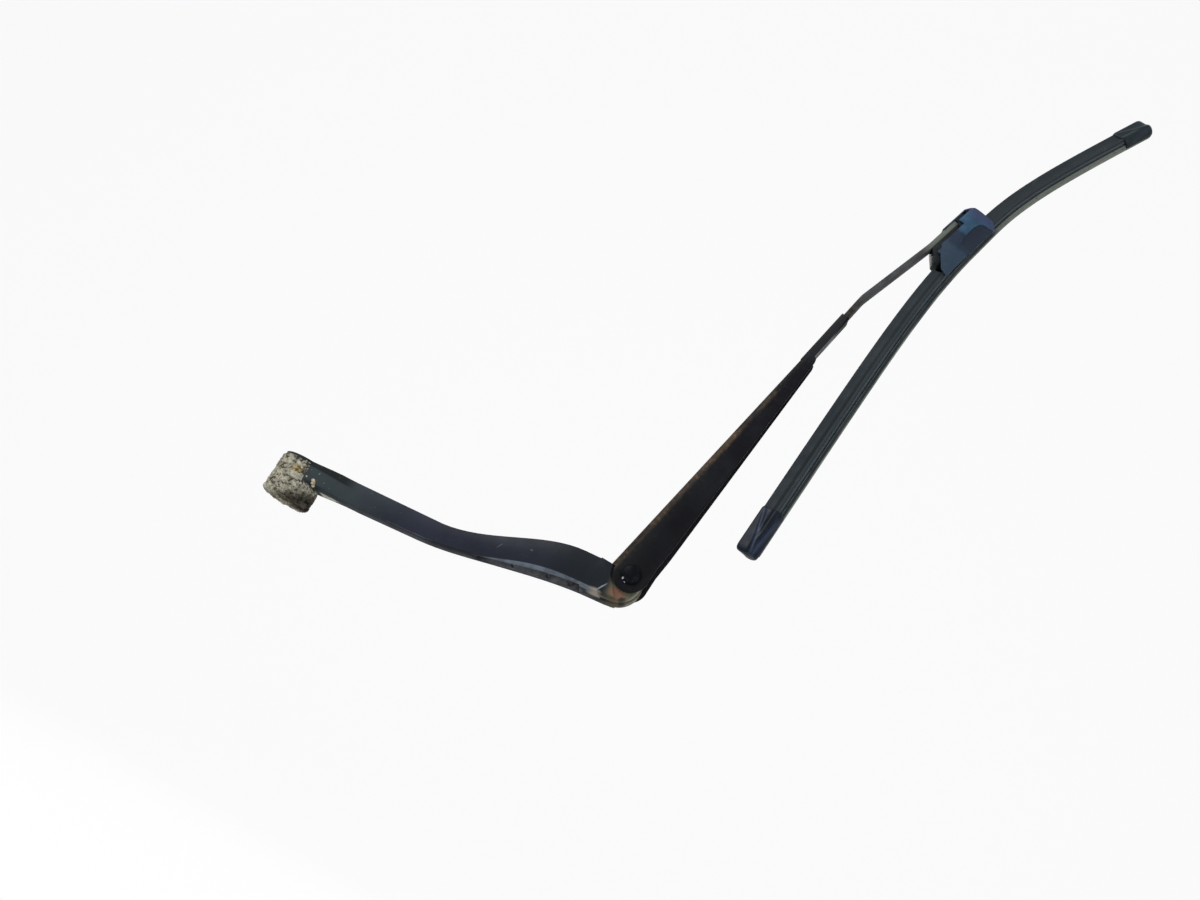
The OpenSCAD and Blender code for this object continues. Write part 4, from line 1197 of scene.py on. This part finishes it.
# %% Extrude the wiping rubber
LIP = [
    (0.3, -16.5), (0.38, -16.3), (0.55, -15.2), (1.0, -14.2), (2.2, -13.4), (2.4, -13.15), (2.2, -12.95),
    (0.95, -12.65), (0.75, -12.45), (0.75, -12.1), (1.1, -11.9), (3.4, -11.65), (3.6, -11.45), (3.6, -10.3),
    (3.4, -10.15), (1.15, -10.05), (1.15, -9.05), (1.0, -9.0),
]
rubber = strip("wiping_lip", both_sides(LIP), stations(CORE_IN, CORE_OUT))
smooth(rubber, 38)
line_layer(rubber)
lay(rubber, BLADE)
finish(rubber, "blade", "wiping_rubber", wiping_rubber, "wiper_rubber")

# %% [markdown]
# ## End caps
#
# Each cap is a moulded sock over the end of the blade. Its flanks are dished between two ridges that run
# together towards the tip. The section is worked out in small steps along the cap's side, and a ridge lifts
# the points near it along their outward direction.

# %% The cap's section
CAP_SIDE = [
    (0.9, -16.1), (1.9, -16.0), (3.4, -15.2), (5.0, -13.8), (6.0, -12.3), (6.35, -11.2), (6.4, -9.9),
    (6.3, -8.7), (5.5, -7.6), (4.7, -6.8), (4.0, -5.9), (3.4, -4.6), (2.9, -3.3), (2.5, -2.1), (2.1, -0.9),
    (1.8, 0.1), (1.3, 0.7), (0.6, 0.85),
]
SIDE_POINTS = 53
RIDGE_H, RIDGE_HALF_W = 0.7, 1.05
LOW_RIDGE, LOW_RIDGE_CLIMB = -14.2, 2.6
HIGH_RIDGE, HIGH_RIDGE_CLIMB = -1.0, -9.4


def on_side(part):
    """A point of the cap's side at a part of its outline, with the outward direction there."""
    steps = [math.dist(a, b) for a, b in zip(CAP_SIDE, CAP_SIDE[1:])]
    left = part * sum(steps)
    for a, b, step in zip(CAP_SIDE, CAP_SIDE[1:], steps):
        if left <= step or b == CAP_SIDE[-1]:
            t = min(1, left / step)
            out = ((b[1] - a[1]) / step, -(b[0] - a[0]) / step)
            return (a[0] + t * (b[0] - a[0]), a[1] + t * (b[1] - a[1])), out
        left -= step


def ridge_share(t, z):
    """How much a point of the side belongs to a ridge, at a share t of the cap's length."""
    low = (z - LOW_RIDGE - LOW_RIDGE_CLIMB * t) / RIDGE_HALF_W
    high = (z - HIGH_RIDGE - HIGH_RIDGE_CLIMB * t) / RIDGE_HALF_W
    return max(math.exp(-low * low), math.exp(-high * high)) * min(1, 5 * t) * min(1, 12 * (1 - t))


def cap_section(t):
    half = []
    for i in range(SIDE_POINTS):
        (y, z), out = on_side(i / (SIDE_POINTS - 1))
        rise = RIDGE_H * ridge_share(t, z)
        half.append((max(0.3, y + out[0] * rise), z + out[1] * rise))
    return half


print("cap section:", len(cap_section(0.5)), "points a side")

# %% [markdown]
# The cap itself is a short strip whose section changes. The face is extruded to each station, and the
# corners that were just made are then set on that station's own section. The mouth and the tip are drawn in
# a little, as a moulding's edges are. Last, the blade's own section, a little larger, is cut out of it.

# %% Mould the end caps
MOUTH_EDGE = [(0, 0.94), (0.4, 0.97), (1.4, 0.99)]
TIP_EDGE = [(2.4, 0.985), (1.4, 0.95), (0.6, 0.9), (0.15, 0.84), (0, 0.8)]
BODY_STEPS = 16
CAP_HOLLOW = [
    (0.9, -18), (0.9, -15.1), (2.6, -13.4), (3.8, -11.9), (5.5, -10.9), (5.5, -8.1), (2.95, -5.95),
    (1.65, -2.6), (0.95, 0.12),
]
TIP_WALL = 3


def cap(name, node, mouth, tip):
    way = 1 if tip > mouth else -1
    length = abs(tip - mouth)
    rings = [(far / length, scale) for far, scale in MOUTH_EDGE]
    rings += [(i / BODY_STEPS, 1) for i in range(1, BODY_STEPS - 1)]
    rings += [(1 - far / length, scale) for far, scale in TIP_EDGE]

    def ring(t, scale):
        return [at_station(mouth + way * length * t, y, z, scale) for y, z in both_sides(cap_section(t))]

    obj = outline(name, ring(*rings[0]))
    for t, scale in rings[1:]:
        push((way * 0.01, 0, 0))
        bpy.ops.object.mode_set(mode="OBJECT")
        fresh = [v for v in obj.data.vertices if v.select]
        for corner, place in zip(fresh, ring(t, scale)):
            corner.co = place * MM
        bpy.ops.object.mode_set(mode="EDIT")
    closed()
    cutter = strip(name + "_core", both_sides(CAP_HOLLOW), stations(mouth - way, tip - TIP_WALL * way))
    modify(obj, "BOOLEAN", object=cutter, operation="DIFFERENCE", solver="MANIFOLD")
    bpy.data.objects.remove(cutter)
    smooth(obj, 50)
    layer = obj.data.uv_layers.new(name="cap_line")
    for loop in obj.data.loops:
        p = obj.data.vertices[loop.vertex_index].co / MM
        height = (p.z - CREST + drop(p.x)) * math.cos(lean(p.x))
        t = share((p.x - mouth) / (tip - mouth))
        layer.data[loop.index].uv = (ridge_share(t, height), t)
    lay(obj, BLADE)
    finish(obj, "blade", "cap_plastic", cap_plastic, node)


cap("inner_cap", "end_cap_inner", -276, -312)
cap("outer_cap", "end_cap_outer", 154, 180)

# %% [markdown]
# ## Measure
#
# The box of the dressed arm is printed beside the box of the solids.

# %% Sizes and finish
visual_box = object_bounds()
for name, (low, high) in (("solids", cad_box), ("dressed", visual_box)):
    print(name, [round((b - a) * 1000, 1) for a, b in zip(low, high)])
